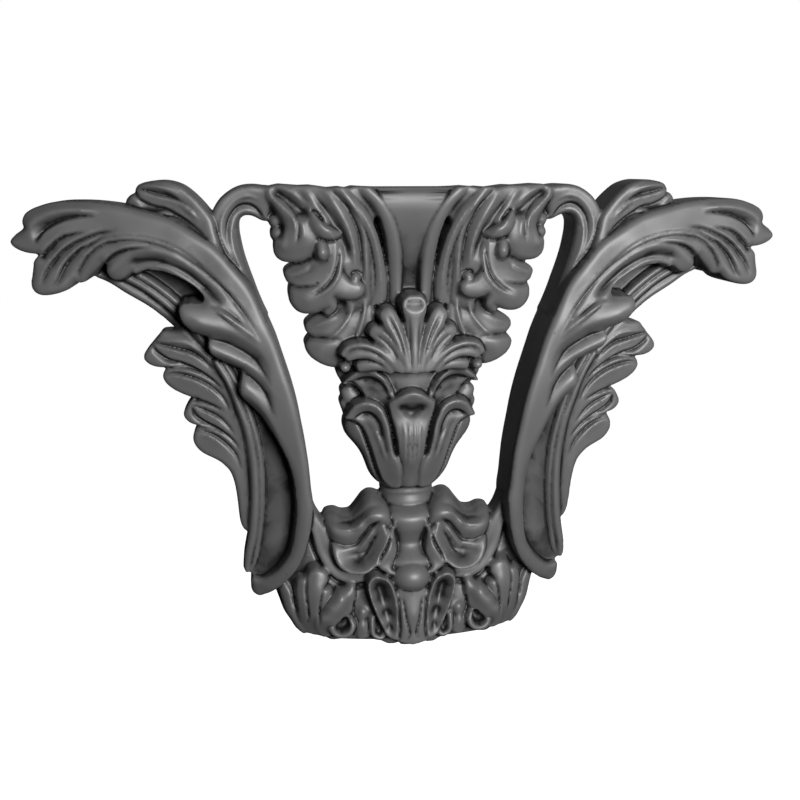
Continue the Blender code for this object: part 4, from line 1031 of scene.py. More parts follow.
@dataclass
class UpperLeaf(SubAssembly):
    """The curled leaf inside the hook, with two beads, a small curl and a drop."""

    leaf: Forms = (
        Knob(89.5, 303.5, 26, 5, 6.5, 8),
        Knob(83.5, 291, 27, 4, 6, 8),
        Knob(87, 296, 29, 4.8, 5.2, 7),
        Knob(86, 287.6, 31, 5, 5.4, 8),
        Sheet(outline=((88, 318), (80, 318.3), (74, 316), (69, 310), (65, 303), (62.5, 296), (61, 289),
            (60.3, 282), (61, 276), (63.4, 274.2), (67, 272.5), (71, 271), (76, 270.1), (80, 270), (84, 271),
            (86.7, 273), (88.2, 276), (88.4, 280), (87.6, 283.6), (84, 285.5), (82, 290), (82.2, 296),
            (85, 301.5), (88.5, 306.5), (92.5, 312), (92.5, 316)),
            levels=((90, 314, 34), (82, 308, 36.5), (75, 300, 39), (71, 290, 40), (66, 282, 39.5),
            (80, 298, 37), (78, 288, 38), (82, 280, 36), (80, 273, 34), (71, 274, 36), (64, 277, 37),
            (86, 278, 33.5), (68, 300, 38), (72, 312, 36.5)), roll=4, reach=4.5),
        Groove(((90, 316.5, 34, 3.3), (84.5, 312.8, 35.5, 4.8), (79.5, 309.3, 36.5, 5.7),
            (75, 305.3, 37, 6.3), (71, 301, 37.5, 6.6), (67.5, 297, 38, 5.4)), depth=5.0, layer=7.0),
        Groove(((82, 308.6, 37.5, 1.5), (78, 304.8, 38.5, 1.7), (75, 299.8, 39.5, 1.8), (73.4, 294, 40, 1.8),
            (73.2, 287.5, 40, 1.8), (75, 281, 38.5, 1.5)), depth=1.2),
        Groove(((80.5, 306, 37.5, 1.5), (77, 301.5, 38.5, 1.8), (75.2, 296, 39, 2), (75.2, 289, 39, 1.8)),
            depth=-0.7),
        Groove(((71.5, 298, 38.5, 1.5), (70, 291, 40, 2), (70.3, 284, 39.5, 1.8)), depth=-0.7),
        Groove(((81, 292, 36.5, 3), (83, 284, 36, 3.6), (83, 277, 35.5, 3.6)), depth=-0.8),
        Sheet(outline=((66.5, 305), (62.5, 301), (59, 296.5), (55.5, 293), (51.5, 291.2), (48.2, 289.8),
            (46.4, 287.8), (47.6, 285.8), (51.5, 284.5), (56, 284.6), (60, 286), (63.5, 289.5), (66.5, 295)),
            levels=((65, 300, 39.5), (61, 293, 43), (56, 290, 44), (50, 288.3, 42.5), (53, 286, 42),
            (60, 288, 42)), roll=3.5, reach=3),
        Sheet(outline=((61, 284.5), (57.3, 284), (55.3, 280.5), (54.6, 276.5), (55.4, 272.8), (57.4, 271.2),
            (60, 271.6), (61.8, 274), (62.2, 278.5)),
            levels=((59, 283, 40.5), (56, 280, 41.5), (61.5, 279, 42), (58.5, 276, 43.5),
            (55.8, 273.6, 41.5), (60.5, 273, 41.5)), roll=3.5, reach=3),
        Groove(((66.5, 303, 39, 1), (63, 302.4, 39, 1.5), (59.5, 298.6, 39.5, 1.6), (56.4, 295, 40, 1.2)),
            depth=4, layer=8),
        Groove(((62.5, 285.6, 40, 0.8), (58.5, 284.4, 41, 1.1), (53, 283.2, 40, 1.2), (47, 284.6, 39, 1)),
            depth=2.5),
    )


@dataclass
class LowerLeaf(SubAssembly):
    """The second leaf of the pair: a point, a large nose, a drop and a right-hand lobe."""

    leaf: Forms = (
        Knob(37.2, 258.8, 37, 3.8, 4.2, 6),
        Sheet(outline=((63, 275), (67, 272), (70.5, 270.4), (74, 268.7), (78, 266.4), (81.3, 264),
            (82.4, 262), (81.6, 259.5), (80.3, 256.8), (78.4, 255.3), (79.2, 252), (79.6, 248), (79, 244),
            (77, 240.5), (74, 237.6), (70, 236.2), (65, 236.3), (61, 237.3), (58.4, 238.2), (57.4, 236.4),
            (56.2, 234.8), (54.8, 234.9), (52, 236.8), (50, 239), (49.3, 241.5), (50, 244.5), (50.4, 247),
            (46, 246.1), (41, 245.5), (37, 246), (34, 247.5), (32, 250.5), (32.2, 254), (34.5, 256.4),
            (39, 257.5), (43, 261), (45.5, 270), (46, 280), (49, 289), (55, 291), (60, 284)),
            levels=((59, 282, 37), (51, 284, 38), (47.5, 268, 38.5), (50, 258, 38.5), (58, 264, 36.5),
            (66, 266, 34), (78, 260.5, 30.5), (58, 250, 38), (68, 247, 37.5), (76, 246, 34), (70, 239, 34),
            (56, 240, 35), (54, 237, 34), (44, 251, 38.5), (36, 251, 38), (42, 258, 38)), roll=4.5,
            reach=4.5),
        Crease(((60, 257.5, 0, 3), (64, 256, 1.6, 4), (69, 255.1, 3, 4.5), (74, 254.9, 3.8, 5),
            (79.5, 255.2, 3.8, 5)), lip=0.4, brim=3),
        Crease(((54, 242, 0, 2), (56, 240.4, 1.6, 2.5), (58, 239, 2.4, 2.5), (59, 237.5, 2.4, 2.5)), lip=0.2,
            brim=2),
        Groove(((40.4, 260.4, 37, 1), (38.4, 263.2, 38, 1.4), (35.6, 263.4, 37, 1.4),
            (33.2, 261.2, 36, 1.1)), depth=3.2),
        Groove(((49, 284, 38, 1.5), (48, 276, 38.5, 1.8), (49, 268, 38.5, 2), (52, 260, 38.5, 2),
            (57, 254, 38, 2), (63, 250, 37.5, 1.8), (69, 246.8, 37, 1.5)), depth=1.4),
        Groove(((46.5, 282, 38, 1.5), (46, 274, 38.5, 2), (47, 266, 38.5, 2.1), (50.4, 257.6, 38.5, 2.1),
            (56, 251.4, 38, 2), (63, 247.2, 37.5, 1.5)), depth=-0.9),
        Groove(((80.5, 260.5, 31, 1.8), (75, 262.6, 32, 2.2), (70, 265, 33.5, 2.4), (66, 268, 35, 2.1)),
            depth=-0.9),
    )


@dataclass
class TailLeaf(SubAssembly):
    """The two points below the pair of leaves, behind the palmette."""

    points: Forms = (
        Sheet(outline=((25, 244.8), (33.2, 244.8), (39.3, 244.9), (42.5, 244.5), (45.5, 243.7),
            (48.2, 242.4), (50.6, 240), (53.6, 237), (57.5, 234.7), (62.5, 232.7), (66.5, 230.1),
            (69.1, 227.2), (69.1, 224.1), (67.3, 221.7), (65.7, 219.9), (68.1, 216.5), (69.6, 213.8),
            (68.8, 210.2), (66.6, 206.7), (62.6, 203.3), (58.5, 200.9), (53.4, 199.1), (48.4, 198.5),
            (43.3, 196.2), (35.2, 198.2), (29, 203.1), (24.9, 212.2), (24, 226.6)),
            levels=((47, 241, 24), (29.3, 239, 29), (37.5, 231.1, 30), (45.5, 231.1, 30), (55.6, 228.4, 29),
            (65.5, 224.9, 26), (39.5, 221, 30), (49.7, 213.2, 31.5), (59.7, 211, 30.5), (65.6, 211.5, 28),
            (55.5, 203.5, 28.5), (45.5, 204.7, 29), (31.3, 220.7, 28.5), (29.2, 210.5, 28)), roll=4,
            reach=4.5),
        Crease(((44.5, 218, 0, 3), (49.6, 219.1, 1.6, 4), (55.6, 219.8, 3.2, 5), (61.6, 220, 4, 5),
            (68.1, 220.5, 4, 5)), lip=-2.0, brim=4, bevel=1.4),
        Groove(((38.4, 242.1, 29, 1.3), (40.5, 234.6, 30, 1.7), (45, 227.6, 30, 1.8), (51.6, 221, 30, 1.6),
            (56.6, 218, 30, 1.2)), depth=-1.1),
        Groove(((29.8, 245.1, 29, 1.4), (31.4, 234, 29.5, 1.9), (34.3, 223.9, 29, 2),
            (38.4, 214.8, 29, 1.6)), depth=-1.3),
        Groove(((66.6, 225.9, 26, 1.2), (59.6, 228.8, 28.5, 1.6), (52.6, 232.1, 30, 1.6),
            (46.6, 235.1, 30, 1.2)), depth=-0.9),
    )


@dataclass
class Bell(SubAssembly):
    """The bell capital: a flaring panel between strands that fall from its top edge."""

    panel: Forms = (
        Stroke(((0, 200, 18, 30), (0, 230, 18, 26), (0, 262, 19, 26), (0, 285, 20, 30), (0, 303, 22, 42),
            (0, 318, 22, 55)), crown=0.2, roll=0.5, ends=Ends.SQUARE, sides=Sides.MIDDLE),
        Stroke(((0, 236, 18.5, 6), (0, 246, 20, 6), (0, 256, 22, 6), (0, 263, 24.5, 6), (0, 270, 28, 6.2),
            (0, 278, 31.8, 6.8), (0, 285, 34.6, 7.6), (0, 292, 37.2, 9), (0, 299, 39.4, 12),
            (0, 305, 40.8, 16), (0, 310, 41, 20.5), (0, 314, 40, 25), (0, 318.5, 36.5, 31)), crown=-0.3,
            roll=0.2, ends=Ends.SQUARE, sides=Sides.MIDDLE),
        Stroke(((10.3, 236, 27.5, 4.4), (10.3, 252, 29, 4.4), (10.8, 266, 31.5, 4.6), (12, 279, 35, 4.8),
            (14.2, 290, 38, 4.8), (18.6, 301, 40.8, 4.4), (23.8, 309, 42.2, 4), (29.5, 314.5, 42, 3.8),
            (35, 319.5, 40.5, 3.6)), crown=1.0, roll=3, tilt=-0.8, ends=Ends.SQUARE),
    )
    # The broad strand beyond the deep channel, with a groove down its middle.
    strand: Forms = (
        Stroke(((21.6, 240, 28.5, 5.6), (21.6, 255, 31.5, 5.7), (22.5, 266, 33.5, 5.3), (24.6, 278, 36, 4.9),
            (28.4, 290.5, 38.8, 4.5), (33, 299.5, 40.4, 4.3), (38.5, 307, 41.6, 4.1), (44, 313, 42, 4),
            (49.5, 319.5, 41, 4)), crown=0.6, roll=3.5, ends=Ends.SQUARE),
        Groove(((24, 243, 29, 1.2), (24, 255, 31.5, 1.5), (24.6, 266, 33.5, 1.5), (26.6, 277, 36, 1.5),
            (30, 287.5, 38, 1.5), (34.5, 296.5, 40, 1.5), (40, 304.5, 41, 1.4), (46, 312, 42, 1.3),
            (50, 318, 41.5, 1)), depth=1.5),
        Groove(((19.6, 243, 29, 1), (20, 255, 31.5, 1.3), (21, 267, 33.5, 1.3), (23, 278, 36, 1.3),
            (26.5, 289, 38.5, 1.3), (31.5, 298.5, 40, 1.3), (37.5, 307, 41.5, 1.2), (43.5, 314, 42, 1)),
            depth=-0.7),
    )


@dataclass
class Palmette(SubAssembly):
    """The fan of lobes over the cup."""

    lobes: Forms = (
        Stroke(((0, 200, 38, 16), (0, 212, 37, 20), (0, 224, 35, 16), (0, 236, 34, 9)), crown=3, roll=3,
            ends=Ends.ROUND, sides=Sides.MIDDLE),
        Stroke(((0, 196, 48, 4), (0, 208, 48, 4.3), (0, 221, 47, 5), (0, 233, 47, 6.8), (0, 242, 47.5, 8.6),
            (0, 249.5, 45.5, 7.5)), crown=0.8, roll=3, ends=Ends.ROUND, sides=Sides.MIDDLE),
        Stroke(((3.5, 197, 48, 3), (6.5, 210, 47.5, 3.6), (10.5, 222, 46.5, 4.5), (15.5, 232.5, 45, 6),
            (20, 240, 42.5, 5)), crown=0.4, roll=3, ends=Ends.ROUND),
        Stroke(((7, 197, 47.5, 3), (10.5, 207, 46.5, 3.8), (15.5, 216, 45, 5), (22, 222.5, 43, 5.6),
            (29, 226, 40.5, 4)), crown=0.6, roll=3, ends=Ends.ROUND),
    )
    # The lower curl: a raised outer band round a second one.
    curl: Forms = (
        Stroke(((9, 198, 47, 2.5), (16, 206.5, 46, 2.8), (25, 213, 45.5, 2.8), (34.5, 215.5, 44.5, 2.8),
            (43, 213.3, 43, 2.8), (47.3, 208, 41.5, 2.2)), crown=0.6, roll=2.5, ends=Ends.ROUND),
        Stroke(((13, 198, 45.5, 3), (21, 205, 45, 3), (30, 209.5, 44, 3), (38.5, 209.5, 43, 3.4),
            (45, 206.3, 41.5, 2.6)), crown=0.6, roll=2.5, ends=Ends.ROUND),
        Stroke(((13, 197.5, 45, 2.5), (22, 201.5, 44, 3.4), (31, 202, 42.5, 4), (38, 200.3, 40.5, 3.7)),
            crown=0.8, roll=3, ends=Ends.ROUND),
        Knob(44.5, 199.5, 36, 4, 3.6, 5),
    )
    # The scooped tip of the middle lobe and the fine lines of the others.
    lines: Forms = (
        Groove(((-7.2, 243, 46, 2.6), (-3.8, 243, 47, 5.2), (0, 242.8, 47, 6.4), (3.8, 243, 47, 5.2),
            (7.2, 243, 46, 2.6)), depth=2.3, sides=Sides.MIDDLE),
        Groove(((4.2, 236, 47, 1), (3, 225, 47.5, 1.1), (2.6, 212, 48, 1.1), (2.4, 199, 48, 1)), depth=0.9),
        Groove(((18, 235.5, 43.5, 1), (13.8, 228.5, 45.5, 1.3), (9.8, 219.5, 47, 1.2), (6.5, 208, 48, 1)),
            depth=1.3),
        Groove(((15.5, 236.5, 44, 0.9), (11.5, 229, 46, 1.1), (8, 219, 47, 1.1), (5.2, 207, 48, 0.9)),
            depth=-0.8),
        Groove(((26.5, 223.5, 42, 1), (20.5, 219.5, 43.5, 1.3), (15, 213.5, 45, 1.3), (10.5, 205, 46.5, 1)),
            depth=1.3),
        Groove(((23.5, 226, 42.5, 0.9), (18, 222, 44, 1.1), (12.8, 215, 46, 1.1), (8.8, 206, 47, 0.9)),
            depth=-0.8),
        Groove(((45.5, 210.5, 42, 1), (41, 213.4, 43.5, 1.2), (34, 214.2, 44.5, 1.2), (26, 211.5, 45.5, 1.2),
            (18.5, 206, 46, 1)), depth=1.2),
        Groove(((40, 204.5, 42.5, 1), (33, 206.3, 43.5, 1.2), (25.5, 204.8, 44.5, 1.2), (18, 200.8, 45, 1)),
            depth=1.2),
    )


@dataclass
class Cup(SubAssembly):
    """The leafy cup under the palmette, turned and flattened, with two rows of leaves."""

    body: Forms = (
        Turned(((18.5, 108), (21, 113), (25, 119), (27.2, 127), (30, 135), (33.4, 144), (36, 156), (36, 172),
            (37, 190), (37, 204)), 6, 0.68),
    )
    # Lower row: the outer leaf, the curled leaf on each side and the front leaf with its lip.
    lower_row: Forms = (
        Sheet(outline=((43.6, 159.6), (44.3, 154.3), (43.4, 150.3), (41.1, 146.6), (38, 143), (34.9, 139.2),
            (31.8, 133.9), (29.4, 127.8), (27.2, 121.6), (24.3, 116.5), (21.2, 113.3), (17.3, 111),
            (13.2, 110.5), (15.3, 118.8), (19.6, 131.8), (23.9, 144.4), (28.9, 154.5), (35, 159.4),
            (40, 160.8)),
            levels=((41.6, 154.8, 18.5), (36.5, 146.9, 20), (31.5, 137.9, 21), (26.8, 125.3, 20.5),
            (21.9, 116.4, 18.5), (34.3, 155.2, 24), (28.3, 143.1, 25), (23, 129.5, 24), (17.6, 116.5, 22)),
            roll=5, reach=5),
        Sheet(outline=((44.5, 163.7), (41, 169.6), (37.1, 173.8), (32.1, 175.8), (27.1, 175.2), (21, 171.4),
            (17.9, 165), (15.6, 157.4), (14.1, 147.5), (11.8, 138.3), (9.1, 133.8), (6.1, 121.6),
            (7.7, 111.3), (14.9, 111.8), (19.4, 116.7), (23.3, 125.2), (25.4, 132.4), (27.5, 140.8),
            (29.6, 148), (31.6, 153), (34.7, 157.9), (38.8, 160.9)),
            levels=((43.1, 164.2, 31), (37.2, 171.9, 33.5), (32.3, 173.8, 35), (25.3, 172.5, 36),
            (19.9, 164.6, 36.5), (16.8, 151.3, 36), (13.1, 138.9, 35), (37.9, 162.9, 30),
            (31.8, 164.8, 29.5), (25.8, 161, 30.5), (22.3, 152.1, 31.5), (18.8, 141.1, 32),
            (29.7, 152.4, 29), (26.7, 142.4, 29.5), (23.5, 130.9, 28.5), (17.1, 117.8, 26),
            (10.6, 124.5, 31), (9, 114, 27)), roll=4, reach=3.5),
        Crease(((14.5, 135.6, 0.4, 3), (16.5, 144.4, 1.2, 4), (18.9, 152.8, 2.2, 4.5), (21.1, 160.5, 3.2, 5),
            (24, 165.3, 4.2, 6), (28, 168.1, 4.8, 7), (31.9, 168.1, 4.8, 7), (36, 166.2, 3.8, 6),
            (39.5, 162.9, 1.5, 4)), lip=0.5, brim=2.4),
        Sheet(outline=((-11.3, 177.7), (-7.4, 180.5), (-3.4, 182.4), (0, 183.1), (3.4, 182.4), (7.4, 180.5),
            (11.3, 177.7), (15, 174.9), (15.5, 170.4), (13.9, 164.2), (11.9, 157.1), (10.3, 149.9),
            (9.2, 142.7), (7.9, 135.9), (6.5, 126.6), (4.8, 112.7), (-4.8, 112.7), (-6.5, 126.6),
            (-7.9, 135.9), (-9.2, 142.7), (-10.3, 149.9), (-11.9, 157.1), (-13.9, 164.2), (-15.5, 170.4),
            (-15, 174.9)),
            levels=((0, 180.1, 40.5), (7.7, 178, 39.8), (-7.7, 178, 39.8), (13.4, 174.4, 37.5),
            (-13.4, 174.4, 37.5), (0, 166, 33.8), (8, 168, 35.2), (-8, 168, 35.2), (0, 157, 36.6),
            (0, 148.6, 37), (7.2, 148.4, 36.5), (-7.2, 148.4, 36.5), (0, 133, 35.5), (5.8, 132.4, 33.5),
            (-5.8, 132.4, 33.5), (0, 115.7, 29), (4, 115.4, 28), (-4, 115.4, 28)), roll=3.5, reach=3.5,
            sides=Sides.MIDDLE),
        Groove(((2.2, 163, 36.5, 0.9), (1.8, 153.5, 37, 1.4), (1.6, 141, 36.5, 1.4), (1.7, 130, 35, 1)),
            depth=-0.8),
        Groove(((5.8, 162, 36.5, 1), (5, 152.6, 37, 1.4), (4.6, 141.4, 36.5, 1.4), (4.6, 130, 35, 1.1)),
            depth=-0.9),
        Groove(((25.3, 157.1, 31, 1.1), (20.9, 145.1, 32, 1.5), (16.8, 133, 32, 1.3)), depth=-1.0),
    )
    # Upper row: the same curled leaves, further out, with their side lobes.
    upper_row: Forms = (
        Stroke(((33, 166, 19, 6), (40, 177, 20, 6), (44, 183, 18, 4)), crown=1.2, roll=4),
        Stroke(((32, 160, 18, 6), (40, 169, 19, 6), (44.8, 175, 18, 4)), crown=1, roll=3),
        Stroke(((33, 186, 20, 8), (42, 194, 21, 7), (46.5, 201, 21, 5)), crown=1, roll=3),
        Sheet(outline=((46.2, 187.6), (42.2, 192.5), (37.2, 196.2), (32.3, 198), (27.2, 197.4),
            (22.1, 194.8), (17.5, 190.7), (14.2, 184.7), (12, 178.6), (11.4, 173.1), (18.4, 168.7),
            (27.5, 172.5), (30.9, 177.3), (34.3, 183.1), (38.5, 186.9), (42.1, 187.9)),
            levels=((45.3, 188.5, 33), (39.5, 194.2, 36), (32.5, 196.5, 37), (25.5, 194.9, 37),
            (18.8, 188.7, 36), (14, 179.1, 34), (39.1, 189.3, 32), (31.9, 190.1, 31), (24.8, 188.1, 31),
            (19.7, 182.5, 31), (16.5, 175.1, 30), (29.6, 178.7, 28), (24.6, 176.9, 29)), roll=3.5,
            reach=3.2),
        Crease(((13.4, 173.4, 0.8, 3), (14.6, 179.1, 2, 4), (17.6, 185.7, 3.2, 5), (21.6, 190, 4, 6),
            (27.3, 192.9, 4.4, 7), (33.1, 192.7, 4.2, 7), (38.7, 190.5, 2.6, 5), (42.2, 188.8, 1, 3)),
            lip=0.5, brim=2.4),
    )
    # The hollow under the front leaf's lip, the slots beside it and the channels between the leaves.
    hollows: Forms = (
        Groove(((-10.5, 173, 36, 3), (-5, 171, 36, 5.5), (0, 169.4, 36, 7.5), (5, 171, 36, 5.5),
            (10.5, 173, 36, 3)), depth=2.6, sides=Sides.MIDDLE),
        Groove(((16.5, 174.8, 35, 1.2), (15.5, 167.2, 35, 1.5), (13.1, 158.1, 35, 1.6),
            (11.2, 147.9, 34.5, 1.7), (10.2, 136.8, 33, 1.7)), depth=6, layer=8),
        Groove(((42.9, 162.7, 28, 1.2), (38.4, 161.2, 29, 1.6), (33.8, 156, 29, 1.8), (30, 146.6, 28, 1.9),
            (26.6, 136, 27, 1.9), (23.1, 124.7, 25, 1.8), (19.1, 115.8, 23, 1.6), (13.6, 111.7, 23, 1.2)),
            depth=5, layer=9),
        Groove(((45.1, 189.4, 30, 1.2), (40.5, 189, 30, 1.5), (36.4, 185.1, 29, 1.8),
            (33.2, 180.1, 28.5, 1.7), (30.1, 175.2, 28, 1.2)), depth=4, layer=9),
        Groove(((13.2, 178.7, 32, 1), (14.4, 185, 33, 1.3), (18, 190.6, 34, 1.3)), depth=2.5),
    )


@dataclass
class Collar(SubAssembly):
    """The turned neck under the cup and the flared stem below it."""

    neck: Forms = (
        Turned(((15, 92), (18.5, 93), (20, 96.5), (20, 100), (18.6, 103.5), (18.2, 105), (18.9, 106.3),
            (18.2, 107.6), (18, 109.5), (19, 112), (19, 117)), 5, 0.86),
        Stroke(((0, 97, 22, 16), (0, 92, 29.5, 14.5), (0, 84, 31, 11.8), (0, 77, 28.5, 10),
            (0, 69, 27.5, 9.6), (0, 64, 31.5, 11), (0, 60, 35.5, 13.5), (0, 54, 36.5, 15)), crown=3,
            roll=1.5, ends=Ends.SQUARE, sides=Sides.MIDDLE),
    )


@dataclass
class SideLeaves(SubAssembly):
    """The pair of curled leaves that lie over the bowl's rim on each side."""

    # Upper curl: its top face falls back from a bright ridge to the outline.
    upper_curl: Forms = (
        Sheet(outline=((59.2, 86.4), (58.2, 90), (54.8, 91.6), (51.2, 91.5), (47.6, 89.8), (43.5, 89.5),
            (40.4, 90.1), (37.5, 93.2), (34.4, 97.2), (31.4, 101.2), (27.3, 103.8), (22.2, 103),
            (17.5, 99.5), (14.6, 95), (12.6, 88), (10.6, 80), (22.7, 65.2), (41, 62.8), (51.1, 66.4),
            (55.6, 73.3), (58.1, 81.2)),
            levels=((53.4, 83.7, 26), (44.4, 83, 28), (35.4, 86.1, 29.5), (28.4, 93.5, 30.5),
            (20.4, 95.2, 31), (56.9, 88, 17), (47.7, 89.4, 18), (40.6, 89.8, 19), (34.5, 96.3, 20),
            (27.5, 102.8, 21), (18.4, 101.1, 22), (13.4, 93.1, 29), (27.1, 84.8, 27.5), (32, 76.9, 25.5),
            (41.1, 71.8, 25.5), (51.2, 72.3, 24), (56.7, 78.6, 22), (13, 83, 28)), roll=5, reach=4),
        Groove(((21.4, 95.2, 31, 1.2), (27.5, 94, 31, 1.5), (32.9, 89.3, 30, 1.7), (37.4, 85, 29, 1.6),
            (44.4, 83.2, 28, 1.4), (52.3, 83.8, 26, 1.1)), depth=-1.1),
        Groove(((19.7, 99.1, 25, 1.4), (28, 97.9, 26, 2), (34, 92.2, 25.5, 2), (40, 87.1, 24, 1.8),
            (48, 86.6, 22.5, 1.6), (55.1, 87.5, 21, 1.2)), depth=1.5),
    )
    # Lower curl: a rolled rim round a shallow hollow.
    lower_curl: Forms = (
        Sheet(outline=((54, 71.8), (53.9, 66.6), (52.5, 61.8), (50.6, 58), (46.6, 54.8), (41.6, 53.1),
            (36.6, 52.8), (31.5, 54), (26.5, 57.1), (23, 60.2), (19.9, 64), (17.5, 69.2), (15.3, 73.9),
            (13.9, 77.8), (16.1, 83.3), (20, 87.7), (24, 89.3), (28.1, 86.2), (32, 79.4), (36.1, 73.9),
            (41.2, 70.5), (46.2, 69.9), (50.8, 71.7)),
            levels=((52, 65.6, 30), (49.3, 59.3, 32), (43.8, 56.9, 33.5), (36.8, 56.6, 34), (29.8, 59.2, 34),
            (25.1, 63.2, 34), (21.2, 71.2, 34), (19.1, 78.8, 33), (45.4, 63.9, 28.4), (37.3, 60.5, 28.6),
            (30.3, 64.1, 29), (26.7, 71.2, 29), (24.2, 81.3, 29), (51.4, 71.4, 27), (43.3, 68.6, 27.5),
            (36.2, 72.6, 27.5), (30.2, 80.9, 28), (23.2, 88.4, 29)), roll=4, reach=3.2),
        Groove(((43, 70.5, 27, 1.4), (38, 71.2, 27, 1.9), (33, 77.2, 27.5, 2.3), (27, 85, 28.5, 2.3),
            (21, 90.5, 29, 1.6)), depth=2.6),
        Groove(((37, 65.5, 29, 1.2), (33, 70.8, 29, 1.6), (29, 77.6, 29.5, 1.6), (25, 83.6, 30, 1.2)),
            depth=-1.3),
        Groove(((34, 61.8, 29, 1.2), (29.8, 67.6, 29.5, 1.7), (26.2, 74.6, 30, 1.7), (22.8, 81, 30.5, 1.2)),
            depth=1.5),
        Groove(((17.2, 86.1, 31, 1.2), (16.1, 78.8, 33, 1.4)), depth=1.5),
    )


